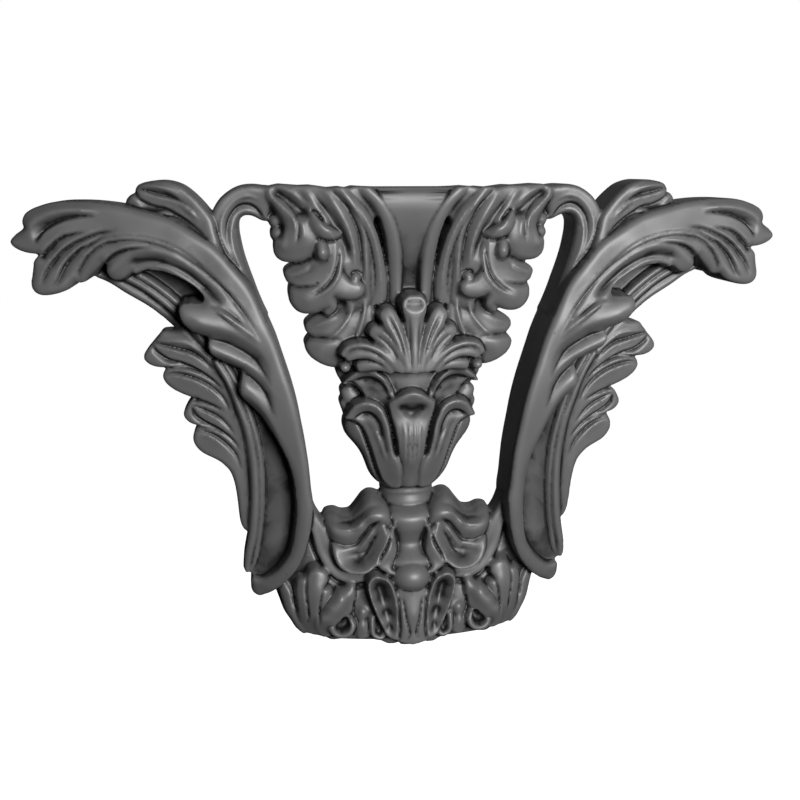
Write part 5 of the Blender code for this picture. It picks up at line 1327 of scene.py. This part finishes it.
@dataclass
class Bowl(SubAssembly):
    """The rim band, the boss and the leaves of the bowl that closes the foot."""

    # Back sheet of the bowl, then the C-shaped rim band.
    rim: Forms = (
        Sheet(outline=((-7.5, -4.9), (0, -4.8), (3, -4.3), (6, -2.5), (11.4, -3.8), (16.4, -3.9),
            (21.4, -1.4), (29.4, -0.6), (39.3, -0.4), (49.3, -0.7), (56.3, -1.5), (61.4, 0.9), (67.4, 3),
            (72.4, 2.8), (78.6, 4.7), (83.7, 10.6), (87.7, 16.4), (90.8, 24.6), (94, 34.6), (96, 48.4),
            (89.8, 66.6), (79.4, 79.1), (71.1, 89.4), (64.9, 88), (57, 75), (50, 62), (38.8, 52), (22.7, 54),
            (10.5, 62), (-6.5, 64)),
            levels=((0, 51.1, 27), (0, 25, 36), (0, 1.5, 35), (20.9, 43.6, 26), (23.6, 28.1, 32),
            (23.7, 4.5, 33), (39, 40.7, 24), (41.4, 24.7, 29), (41.5, 3, 30), (57.1, 43.5, 21),
            (59.4, 20.8, 25), (59.4, 2.7, 25.5), (71.2, 61.1, 14), (75.5, 37, 18), (75.5, 12.3, 20),
            (91.9, 43.9, 10), (87.7, 24.4, 13), (69.1, 83.8, 14)), roll=5, reach=5),
        Stroke(((70.5, 107, 18, 1.2), (67.4, 92.6, 20, 2.6), (62.6, 78.8, 21, 5.2), (58.4, 65.3, 22, 6),
            (54.4, 56.5, 23.5, 5.6), (49.2, 49.7, 25, 4.6), (42.2, 46.7, 26, 4.2), (35.2, 46.7, 27, 3.8),
            (28.2, 49.5, 28, 3.8), (22.2, 54, 29, 3.6)), crown=-0.9, roll=2.6, tilt=-0.6),
        Groove(((71.7, 83.8, 14, 1.2), (69, 71.8, 15, 1.6), (64.9, 59.8, 16, 1.8), (59.6, 50.4, 17, 1.8),
            (51.8, 42.6, 18, 1.8), (42.6, 38.5, 19, 1.8), (33.5, 38.7, 20, 1.6), (26.4, 41.8, 21, 1.2)),
            depth=2.4, layer=9),
    )
    # Boss with the tongues that hold it, and the slot between a tongue and its leaf.
    boss: Forms = (
        Sheet(outline=((8.2, 93.7), (11.7, 89.6), (13.3, 83.9), (14.7, 78.4), (16.5, 73.1), (19.2, 67.5),
            (22.3, 61.7), (23.7, 58.6), (22.3, 55.8), (19, 53.4), (15, 51.1), (10, 52), (13.5, 56.5),
            (12.2, 60), (9.8, 65), (9.8, 72), (10.8, 80), (8.6, 90)),
            levels=((10.2, 87.8, 30), (11.5, 78.6, 32.5), (15.4, 68.8, 35.5), (20.5, 58.5, 36),
            (10.7, 61.2, 34), (15.1, 54.4, 37), (8.4, 71.2, 31.5), (8, 55, 36)), roll=3.5, reach=3),
        Groove(((14.6, 95, 30, 1), (12.6, 87, 30.5, 1.2), (10.6, 79, 30, 1.2), (9.6, 72, 29.5, 1.2),
            (9.7, 65, 30.5, 1.2), (12.5, 59.5, 33, 1.1)), depth=2.2),
        Groove(((14.1, 81.5, 32, 1.1), (15, 76.8, 33, 1.5), (17.4, 70.8, 34, 1.6), (20.4, 65.4, 34.5, 1.5),
            (23.2, 59.6, 34, 1.2)), depth=5, layer=8),
        Knob(24.8, 59.7, 20, 3.5, 3.5, 6),
        Knob(0, 48.5, 44, 14.5, 11.5, 15, sides=Sides.MIDDLE),
    )
    # Ribs below the boss.
    ribs: Forms = (
        Sheet(outline=((-9.8, 40.9), (-9.6, 24.2), (-9.4, 12.6), (-10.5, 2.8), (-5.8, 1.5), (0, 0.6),
            (5.8, 1.5), (10.5, 2.8), (9.4, 12.6), (9.6, 24.2), (9.8, 40.9)),
            levels=((0, 39.8, 40), (0, 23.6, 43.5), (0, 4.1, 44), (7.4, 39.4, 39), (7.8, 22.7, 41.5),
            (8.9, 5.3, 42.5), (-7.4, 39.4, 39), (-7.8, 22.7, 41.5), (-8.9, 5.3, 42.5)), roll=2, reach=2,
            sides=Sides.MIDDLE),
        Groove(((7, 36.3, 41, 1), (5.8, 27.9, 42, 1.3), (4.2, 18.4, 43, 1.4), (2.6, 8.8, 43.5, 1.2),
            (5, 3.6, 43, 1)), depth=1.8),
    )
    # Petal: its rim goes round a hollow.
    petal: Forms = (
        Stroke(((18.5, 9, 38, 1.6), (21.5, 4, 38, 1.8), (26.5, 6, 37.5, 1.8), (27.8, 13, 36.5, 1.7),
            (27.5, 20, 35, 1.4)), crown=0.5, roll=2.2),
        Sheet(outline=((29.1, 49.3), (30.6, 45.4), (30.1, 39.4), (28.6, 33.6), (26.3, 27.1), (23.2, 19.1),
            (20.3, 12.4), (17.9, 7.2), (14.9, 5), (11.9, 4.7), (10.4, 9.7), (10.1, 19.4), (11, 30),
            (12.2, 37.7), (14.3, 44.6), (17.9, 50), (21.7, 51.1), (26.1, 51.4)),
            levels=((28.8, 44.9, 38), (24.7, 49.4, 38), (19, 49, 40.5), (14, 40.3, 41), (11.9, 28.6, 41.5),
            (11.5, 14.5, 41), (27.8, 37.1, 38.5), (24.4, 26.7, 39.5), (20.5, 16, 40), (15.6, 7.8, 40.5),
            (22.5, 41.9, 31.5), (20.2, 33.3, 32.5), (17.7, 23.2, 34.5), (15.5, 13.4, 37.5)), roll=3,
            reach=1.8),
    )
    # Upright leaf between the petal and the large leaf.
    upright: Forms = (
        Sheet(outline=((38.5, 25.4), (37.2, 27.9), (34.1, 29.3), (30.1, 29.7), (28.7, 26.9), (30, 21.5),
            (30.1, 12), (29.6, 4.2), (32.7, 1.7), (37.7, 2.2), (39.7, 6.1), (39.1, 17.2)),
            levels=((37.3, 26.3, 28), (32.2, 28.1, 27.5), (34.7, 24.6, 33), (34.9, 13.3, 34.5),
            (34.8, 4.7, 33.5), (38.6, 15.6, 31), (30.6, 16.1, 32)), roll=3.5, reach=3),
    )
    # Large leaf, whose upper face falls away from a ridge, with a curled loop at its foot.
    large_leaf: Forms = (
        Sheet(outline=((41.9, 44.2), (39.7, 42.8), (39.1, 35.5), (39.6, 27.9), (41.2, 23.2), (43.7, 20.3),
            (47.8, 17.5), (51.8, 14.2), (54.2, 9.6), (56.6, 3.5), (62.6, 2.8), (67.7, 9), (68.8, 17.5),
            (66.7, 22.4), (64.6, 24.6), (61.6, 29.6), (56.5, 34.5), (51.5, 38.5), (46.3, 41.3)),
            levels=((42.5, 41.3, 30), (49.9, 36.3, 34.5), (56.9, 29.3, 34.5), (62.9, 21.6, 33),
            (46.4, 41.2, 27.5), (52.5, 37.8, 29), (58.6, 32.6, 28.5), (64.6, 25, 27.5), (41.7, 32.2, 32),
            (45.8, 28.1, 34), (51.9, 21.3, 34.5), (57.8, 14.5, 33), (60.7, 5.8, 29.5)), roll=3.5, reach=3),
        Stroke(((57, 14.5, 34, 2), (55, 9.5, 36, 2.2), (49.5, 7, 37.5, 2.2), (43.7, 9, 38, 2.2),
            (41.5, 15, 37, 2), (43.5, 20, 35, 1.6)), crown=0.5, roll=2.5),
    )
    # The outermost leaf, then the trefoil.
    trefoil: Forms = (
        Sheet(outline=((92.4, 35.4), (90.4, 26.9), (88.1, 19.2), (83.9, 12.2), (79.6, 5.5), (74.5, 2.5),
            (73.5, 6.6), (78.6, 16.3), (81.6, 25.3), (83.7, 35.6), (87.8, 41)),
            levels=((89.8, 32.6, 15), (85.7, 23.6, 18), (80.7, 12.8, 21), (76.6, 6.1, 22), (83.7, 32.3, 19)),
            roll=4, reach=4),
        Sheet(outline=((71.2, 51.2), (68.7, 53.7), (65.6, 54.9), (62.6, 54.4), (59.6, 52.8), (57.5, 49.6),
            (57.3, 46.6), (59.1, 43.4), (60.2, 41.1), (57.1, 40), (55.4, 37.9), (56.4, 33.9), (59.1, 29),
            (60.7, 23.1), (60.5, 13.8), (61, 4), (65.5, 2.9), (71.6, 3.5), (76.6, 4.7), (78.7, 14.1),
            (79.8, 25.2), (80.4, 35.3), (80.3, 40.8), (79.2, 44.9), (76.7, 47.2), (73.7, 48), (72.2, 49.6)),
            levels=((64.7, 51, 29), (65.8, 43.8, 31), (66.8, 33.7, 31), (67.7, 20.9, 29.5), (66.6, 7.5, 27),
            (60.1, 49, 29), (61.8, 38, 31.5), (57.7, 37.3, 30), (70.2, 48.5, 28), (77.7, 42.2, 25),
            (76.2, 33.7, 26.5), (74.7, 18.8, 25), (75.6, 7.1, 22), (61.7, 25.6, 31)), roll=3.5, reach=3),
        Groove(((72, 51.6, 28, 1), (72.7, 46.5, 28, 1.4), (73.2, 38.6, 28.5, 1.5), (72.2, 26.3, 28, 1.4),
            (71.2, 13.6, 27, 1)), depth=2.4),
        Groove(((59.2, 42.8, 30, 1), (61.7, 37.7, 31, 1.4), (63.8, 27.7, 31, 1.4), (64.7, 12.6, 29, 1)),
            depth=1.8),
    )
    # Hollows of the small loops.
    hollows: Forms = (
        Groove(((9.4, 36, 41, 1.1), (9.2, 22, 42, 1.4), (9.1, 10, 42, 1.3), (10.2, 2, 41, 1)), depth=4,
            layer=8),
        Groove(((21.3, 8, 35, 1.4), (23.5, 13, 35, 2), (24.4, 19, 34, 1.6)), depth=3, layer=8),
        Groove(((46.5, 20, 34, 1.4), (48.3, 15.5, 34.5, 2.6), (51, 12, 35, 2.2)), depth=4, layer=8),
        Groove(((39.8, 32, 30, 0.9), (40.3, 24, 31, 1.2), (40.4, 16, 32, 1)), depth=3, layer=8),
    )


@dataclass
class CarvedRelief:
    """The whole carving, fused from its sub-assemblies into one piece.

    Attributes:
        name: The piece's name.
        plate_pitch: Fineness of the fused outline, in units of the sheet.
        pitch: Fineness of the fused relief, in units of the sheet.
        soften: Rounds of smoothing after fusing.
        softness: Share of the way to its neighbours' middle that a round moves a point.
        triangles: Triangles that the finished mesh keeps.
        hollow_rounds: Rounds of levelling that find the hollows.
        hollow_share: Share of the way to its neighbours' middle that a round levels a point.
        hollow_depth: Depth of a full hollow, in metres.
    """

    name: str = "carved_relief"
    plate_pitch: float = 0.6
    pitch: float = 0.8
    soften: int = 2
    softness: float = 0.5
    triangles: int = 196000
    hollow_rounds: int = 9
    hollow_share: float = 0.6
    hollow_depth: float = 0.0008

    def build(self) -> bpy.types.Object:
        """Carve, fuse, trim and fit the piece.

        Returns:
            The finished object, at the origin.
        """
        low, high = CAD_BOX
        block = Block(scale=(high.x - low.x) / SHEET_WIDTH, relief=-low.y / SHEET_DEPTH, rise=-low.z)
        for part in (Crest(), Wing(), Arm(), RearStem(), Fan(), Hook(), Strands(), UpperLeaf(),
                     LowerLeaf(), TailLeaf(), Bell(), Palmette(), Cup(), Collar(), SideLeaves(), Bowl()):
            log.info("%s: %d forms", type(part).__name__, part.carve(block))
        block.finish_map()
        rough = bpy.data.meshes.new("plates")
        block.mesh.to_mesh(rough)
        block.mesh.free()
        piece = bpy.data.objects.new(self.name, rough)
        bpy.context.scene.collection.objects.link(piece)
        self.fuse(piece, self.plate_pitch * block.scale)
        self.emboss(piece.data, block)
        self.fuse(piece, self.pitch * block.scale)
        self.thin(piece)
        piece.data = self.trimmed(piece.data)
        self.fit(piece.data)
        self.mark_hollows(piece.data)
        piece.data.shade_smooth()
        return piece

    def fuse(self, piece: bpy.types.Object, pitch: float) -> None:
        """Fuse what overlaps into one even skin.

        Args:
            piece: The object.
            pitch: Size of the skin's faces, in metres.
        """
        remesh = piece.modifiers.new("Fuse", "REMESH")
        remesh.mode = "VOXEL"
        remesh.voxel_size = pitch
        remesh.adaptivity = 0.0
        self.apply(piece)

    @staticmethod
    def points_of(mesh: bpy.types.Mesh) -> np.ndarray:
        """Read the places of a mesh's points, one row for each."""
        co = np.zeros(len(mesh.vertices) * 3)
        mesh.vertices.foreach_get("co", co)
        return co.reshape(-1, 3)

    def emboss(self, mesh: bpy.types.Mesh, block: Block) -> None:
        """Stretch the even plate forward to the heights of the map."""
        co = self.points_of(mesh)
        out, up = np.array(block.skyline).T
        top = np.interp(np.abs(co[:, 0]) / block.scale, out, up, right=1000.0) * block.scale - block.rise
        co[:, 2] = np.minimum(co[:, 2], top)
        share = np.clip(-co[:, 1] / (block.plate * block.relief), 0.0, 1.0)
        co[:, 1] = np.where(co[:, 1] < 0.0, -share * block.read(co), co[:, 1])
        mesh.vertices.foreach_set("co", co.ravel())
        mesh.update()

    def thin(self, piece: bpy.types.Object) -> None:
        """Smooth the skin, and take out triangles where it is even."""
        smooth = piece.modifiers.new("Soften", "SMOOTH")
        smooth.factor = self.softness
        smooth.iterations = self.soften
        triangles = sum(len(face.vertices) - 2 for face in piece.data.polygons)
        log.info("%s: %d triangles before thinning", self.name, triangles)
        thin = piece.modifiers.new("Thin", "DECIMATE")
        thin.ratio = min(1.0, self.triangles / triangles)
        thin.use_collapse_triangulate = True
        self.apply(piece)

    def apply(self, piece: bpy.types.Object) -> None:
        """Apply the piece's modifiers to its mesh."""
        graph = bpy.context.evaluated_depsgraph_get()
        graph.update()
        done = bpy.data.meshes.new_from_object(piece.evaluated_get(graph))
        piece.modifiers.clear()
        piece.data = done

    def trimmed(self, mesh: bpy.types.Mesh) -> bpy.types.Mesh:
        """Cut the back flat and close it.

        Args:
            mesh: The thinned mesh, which runs past the back.

        Returns:
            The closed mesh, with its faces pointing out.
        """
        body = bmesh.new()
        body.from_mesh(mesh)
        cut = bmesh.ops.bisect_plane(body, geom=list(body.verts) + list(body.edges) + list(body.faces),
                                     dist=WELD, plane_co=(0.0, 0.0, 0.0), plane_no=(0.0, 1.0, 0.0),
                                     clear_outer=True)
        rim = [item for item in cut["geom_cut"] if isinstance(item, bmesh.types.BMEdge)]
        bmesh.ops.triangle_fill(body, edges=rim, use_beauty=True, use_dissolve=False,
                                normal=(0.0, 1.0, 0.0))
        bmesh.ops.remove_doubles(body, verts=list(body.verts), dist=WELD)
        bmesh.ops.recalc_face_normals(body, faces=list(body.faces))
        back = {face for face in body.faces
                if face.normal.y > LEVEL_FACE and face.calc_center_median().y > -WELD / 2.0}
        for edge in {edge for face in back for edge in face.edges}:
            edge.smooth = all(face in back for face in edge.link_faces)
        done = bpy.data.meshes.new(self.name)
        body.to_mesh(done)
        body.free()
        return done

    def fit(self, mesh: bpy.types.Mesh) -> None:
        """Stretch the mesh by the fraction of a millimetre that brings it into the CAD box."""
        co = self.points_of(mesh)
        low, high = (np.array(corner) for corner in CAD_BOX)
        share = (co - co.min(0)) / (co.max(0) - co.min(0))
        log.info("%s: fitted by %s mm", self.name, np.round((high - low - np.ptp(co, 0)) * 1000.0, 2))
        mesh.vertices.foreach_set("co", (low + share * (high - low)).ravel())
        mesh.update()

    def mark_hollows(self, mesh: bpy.types.Mesh) -> None:
        """Store how deep each point lies in a hollow, from -1 on a ridge to 1 in a crease."""
        count = len(mesh.vertices)
        co = self.points_of(mesh)
        normals = np.zeros(count * 3)
        mesh.vertex_normals.foreach_get("vector", normals)
        ends = np.zeros(len(mesh.edges) * 2, int)
        mesh.edges.foreach_get("vertices", ends)
        start, stop = ends.reshape(-1, 2).T
        links = np.maximum(np.bincount(start, minlength=count) + np.bincount(stop, minlength=count), 1)
        level = co.copy()
        for _ in range(self.hollow_rounds):
            total = np.stack([np.bincount(start, level[stop, axis], count)
                              + np.bincount(stop, level[start, axis], count) for axis in range(3)], 1)
            level = (1.0 - self.hollow_share) * level + self.hollow_share * total / links[:, None]
        sunk = ((level - co) * normals.reshape(-1, 3)).sum(1) / self.hollow_depth
        # The material paints shade into the creases and a highlight onto the ridges from this value.
        store = mesh.attributes.new(HOLLOWS, "FLOAT", "POINT")
        store.data.foreach_set("value", np.clip(sunk, -1.0, 1.0).astype(np.float32))


class Value:
    """A node socket that takes part in arithmetic."""

    def __init__(self, paint: "Paint", socket: bpy.types.NodeSocket) -> None:
        """Keep the socket and the material that it belongs to."""
        self.paint = paint
        self.socket = socket

    def _with(self, operation: str, first: "Value | float", second: "Value | float") -> "Value":
        """Add one Math node."""
        return self.paint.node("ShaderNodeMath", {"operation": operation}, {0: first, 1: second})

    def __add__(self, other: "Value | float") -> "Value":
        """Add."""
        return self._with("ADD", self, other)

    def __radd__(self, other: float) -> "Value":
        """Add to a number."""
        return self._with("ADD", other, self)

    def __sub__(self, other: "Value | float") -> "Value":
        """Subtract."""
        return self._with("SUBTRACT", self, other)

    def __rsub__(self, other: float) -> "Value":
        """Subtract from a number."""
        return self._with("SUBTRACT", other, self)

    def __mul__(self, other: "Value | float") -> "Value":
        """Multiply."""
        return self._with("MULTIPLY", self, other)

    def __rmul__(self, other: float) -> "Value":
        """Multiply a number."""
        return self._with("MULTIPLY", other, self)


class Paint:
    """A material whose nodes are added one expression at a time."""

    def __init__(self, name: str) -> None:
        """Start from a plain Principled shader."""
        self.material = bpy.data.materials.new(name)
        self.material.use_nodes = True
        self.nodes = self.material.node_tree.nodes
        self.links = self.material.node_tree.links
        self.shader = self.nodes["Principled BSDF"]

    def node(self, kind: str, settings: dict[str, object], inputs: dict[int | str, object],
             output: int | str = 0) -> Value:
        """Add a node.

        Args:
            kind: The node's type.
            settings: Its own settings, which are set before its sockets. `stops` gives a colour
                ramp's positions and colours.
            inputs: Values or links of its sockets, by number or name.
            output: The socket that is handed back.

        Returns:
            The chosen output.
        """
        node = self.nodes.new(kind)
        for key, value in settings.items():
            if key == "stops":
                self.ramp(node, value)
            else:
                setattr(node, key, value)
        for key, value in inputs.items():
            self.feed(node.inputs[key], value)
        return Value(self, node.outputs[output])

    def ramp(self, node: bpy.types.Node, stops: dict[float, tuple[float, ...]]) -> None:
        """Set the stops of a colour ramp node."""
        elements = node.color_ramp.elements
        while len(elements) < len(stops):
            elements.new(0.5)
        for element, (position, colour) in zip(elements, stops.items()):
            element.position = position
            element.color = colour

    def feed(self, socket: bpy.types.NodeSocket, value: object) -> None:
        """Link a Value to a socket, or set a plain value on it."""
        if isinstance(value, Value):
            self.links.new(value.socket, socket)
        else:
            socket.default_value = value

    def finish(self, **sockets: object) -> bpy.types.Material:
        """Feed the shader's sockets, named with underscores for spaces, and hand the material over."""
        for key, value in sockets.items():
            self.feed(self.shader.inputs[key.replace("_", " ")], value)
        return self.material


@dataclass(frozen=True)
class SatinGraphite:
    """Dark grey satin coat, with painted shade that darkens the hollows to near black and a painted
    highlight that lightens the ridges.

    Attributes:
        ridge: Painted highlight, the colour on the ridges.
        field: Colour of the open surface.
        crease: Painted shade, the near-black colour in the deepest hollows.
        highlight_stop: How deep the painted highlight reaches, from 0 on a ridge to 1 in the deepest crease.
        open_ground: Where the open surface has its own colour.
        darkest: Where the painted shade of the creases is at its darkest.
        gloss: Roughness on the ridges.
        matt: Roughness in the hollows.
        mottle_size: Patches of the coat to the metre.
        mottle: How much the patches change the roughness.
        tint: How much the patches change the tone.
        stipple_size: Specks of the sprayed coat to the metre.
        stipple: Height of the specks, in metres.
        grain: Strength of the specks.
    """

    ridge: tuple[float, ...] = (0.090, 0.090, 0.091, 1.0)
    field: tuple[float, ...] = (0.060, 0.060, 0.061, 1.0)
    crease: tuple[float, ...] = (0.002, 0.002, 0.002, 1.0)
    highlight_stop: float = 0.1
    open_ground: float = 0.52
    darkest: float = 0.74
    gloss: float = 0.44
    matt: float = 0.54
    mottle_size: float = 45.0
    mottle: float = 0.08
    tint: float = 0.04
    stipple_size: float = 2200.0
    stipple: float = 0.00002
    grain: float = 0.25

    def make(self) -> bpy.types.Material:
        """Make the material.

        Returns:
            The material, which reads the piece's hollows and Object coordinates.
        """
        paint = Paint("satin_graphite")
        place = paint.node("ShaderNodeTexCoord", {}, {}, "Object")
        hollows = paint.node("ShaderNodeAttribute", {"attribute_name": HOLLOWS}, {}, "Fac")
        mottle = paint.node("ShaderNodeTexNoise", {}, {"Vector": place, "Scale": self.mottle_size,
                                                       "Detail": 4.0}, "Fac")
        stipple = paint.node("ShaderNodeTexNoise", {}, {"Vector": place, "Scale": self.stipple_size,
                                                        "Detail": 2.0}, "Fac")
        # Painted shade and highlight: the hollows attribute darkens the creases towards near black and
        # lightens the ridges.
        sunk = 0.5 + 0.5 * hollows + self.tint * (mottle - 0.5)
        stops = {self.highlight_stop: self.ridge, self.open_ground: self.field, self.darkest: self.crease}
        tone = paint.node("ShaderNodeValToRGB", {"stops": stops}, {"Fac": sunk}, "Color")
        roughness = self.gloss + (self.matt - self.gloss) * sunk + self.mottle * (mottle - 0.5)
        grain = paint.node("ShaderNodeBump", {}, {"Strength": self.grain, "Distance": self.stipple,
                                                  "Height": stipple}, "Normal")
        return paint.finish(Base_Color=tone, Roughness=roughness, Normal=grain)


@dataclass(frozen=True)
class PaleSweep:
    """Plain pale floor and backdrop.

    Attributes:
        colour: Its colour.
        floor: Height of the floor, in metres.
        reach: Half size of the floor, in metres.
        glow: Light of its own, which keeps it pale.
        matt: Its roughness.
    """

    colour: tuple[float, ...] = (0.9, 0.9, 0.9, 1.0)
    floor: float = -0.75
    reach: float = 12.0
    glow: float = 1.1
    matt: float = 0.9

    def build(self) -> bpy.types.Object:
        """Lay the floor and mark it as stage.

        Returns:
            The floor.
        """
        body = bmesh.new()
        bmesh.ops.create_grid(body, x_segments=1, y_segments=1, size=self.reach,
                              matrix=Matrix.Translation((0.0, 0.0, self.floor)))
        mesh = bpy.data.meshes.new("pale_floor")
        body.to_mesh(mesh)
        body.free()
        paint = Paint("pale_floor")
        mesh.materials.append(paint.finish(Base_Color=self.colour, Roughness=self.matt,
                                           Emission_Color=self.colour, Emission_Strength=self.glow))
        floor = bpy.data.objects.new("pale_floor", mesh)
        bpy.context.scene.collection.objects.link(floor)
        floor.visible_diffuse = False
        floor.visible_glossy = False
        return floor


@dataclass(frozen=True)
class SoftBox:
    """A soft square light that faces the onlay.

    Attributes:
        name: Its name.
        azimuth: Degrees to the right of the front.
        elevation: Degrees above the horizon.
        distance: From the onlay's middle, in metres.
        size: Length of its side, in metres.
        power: Its power, in watts.
    """

    name: str
    azimuth: float
    elevation: float
    distance: float
    size: float
    power: float

    def build(self) -> bpy.types.Object:
        """Hang the light and turn it to the onlay.

        Returns:
            The light.
        """
        turn, lift = math.radians(self.azimuth), math.radians(self.elevation)
        away = Vector((math.sin(turn) * math.cos(lift), -math.cos(turn) * math.cos(lift),
                       math.sin(lift)))
        lamp = bpy.data.lights.new(self.name, "AREA")
        lamp.size = self.size
        lamp.energy = self.power
        light = bpy.data.objects.new(self.name, lamp)
        light.location = away * self.distance
        light.rotation_euler = away.to_track_quat("Z", "Y").to_euler()
        bpy.context.scene.collection.objects.link(light)
        return light


@dataclass(frozen=True)
class Studio:
    """Camera, floor and lights.

    Attributes:
        stand: Where the camera stands, in metres.
        azimuth: How far its view turns right, in degrees.
        decline: How far its view looks down, in degrees.
        lens: Its focal length, in millimetres.
        sky: Brightness of the room around the onlay.
        lights: The key light above the camera, to its right, and a faint light behind.
    """

    stand: tuple[float, float, float] = (-0.095, -0.677, 0.1705)
    azimuth: float = 7.7
    decline: float = 13.1
    lens: float = 45.0
    sky: float = 0.006
    lights: tuple[SoftBox, ...] = (
        SoftBox("key", azimuth=15.4, elevation=16.1, distance=1.1, size=0.4, power=22.0),
        SoftBox("back", azimuth=172.3, elevation=4.0, distance=2.0, size=1.6, power=2.4),
    )

    def build(self) -> None:
        """Set up the camera, the floor, the room and the lights."""
        turn, drop = math.radians(self.azimuth), math.radians(self.decline)
        ahead = Vector((math.sin(turn) * math.cos(drop), math.cos(turn) * math.cos(drop),
                        -math.sin(drop)))
        camera = bpy.data.objects.new("camera", bpy.data.cameras.new("camera"))
        camera.data.lens = self.lens
        camera.location = self.stand
        camera.rotation_euler = ahead.to_track_quat("-Z", "Y").to_euler()
        bpy.context.scene.collection.objects.link(camera)
        bpy.context.scene.camera = camera
        PaleSweep().build()
        for light in self.lights:
            light.build()
        self.room()

    def room(self) -> None:
        """Make the room white to look at, and dim as a light."""
        world = bpy.data.worlds.new("pale_room")
        world.use_nodes = True
        air = world.node_tree.nodes["Background"]
        air.inputs["Color"].default_value = WHITE
        seen = world.node_tree.nodes.new("ShaderNodeLightPath").outputs["Is Camera Ray"]
        level = world.node_tree.nodes.new("ShaderNodeMath")
        level.operation = "MAXIMUM"
        level.inputs[1].default_value = self.sky
        world.node_tree.links.new(seen, level.inputs[0])
        world.node_tree.links.new(level.outputs[0], air.inputs["Strength"])
        bpy.context.scene.world = world
        bpy.context.scene.view_settings.view_transform = "Standard"


def main() -> None:
    """Build the studio and the onlay, and report each piece."""
    logging.basicConfig(level=logging.INFO, format="%(name)s: %(message)s")
    Studio().build()
    relief = CarvedRelief().build()
    relief.data.materials.clear()
    relief.data.materials.append(SatinGraphite().make())
    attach(relief, "root")
    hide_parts("carved_onlay")
    log.info("%s: %d faces, one piece on root", relief.name, len(relief.data.polygons))


if __name__ == "__main__":
    main()
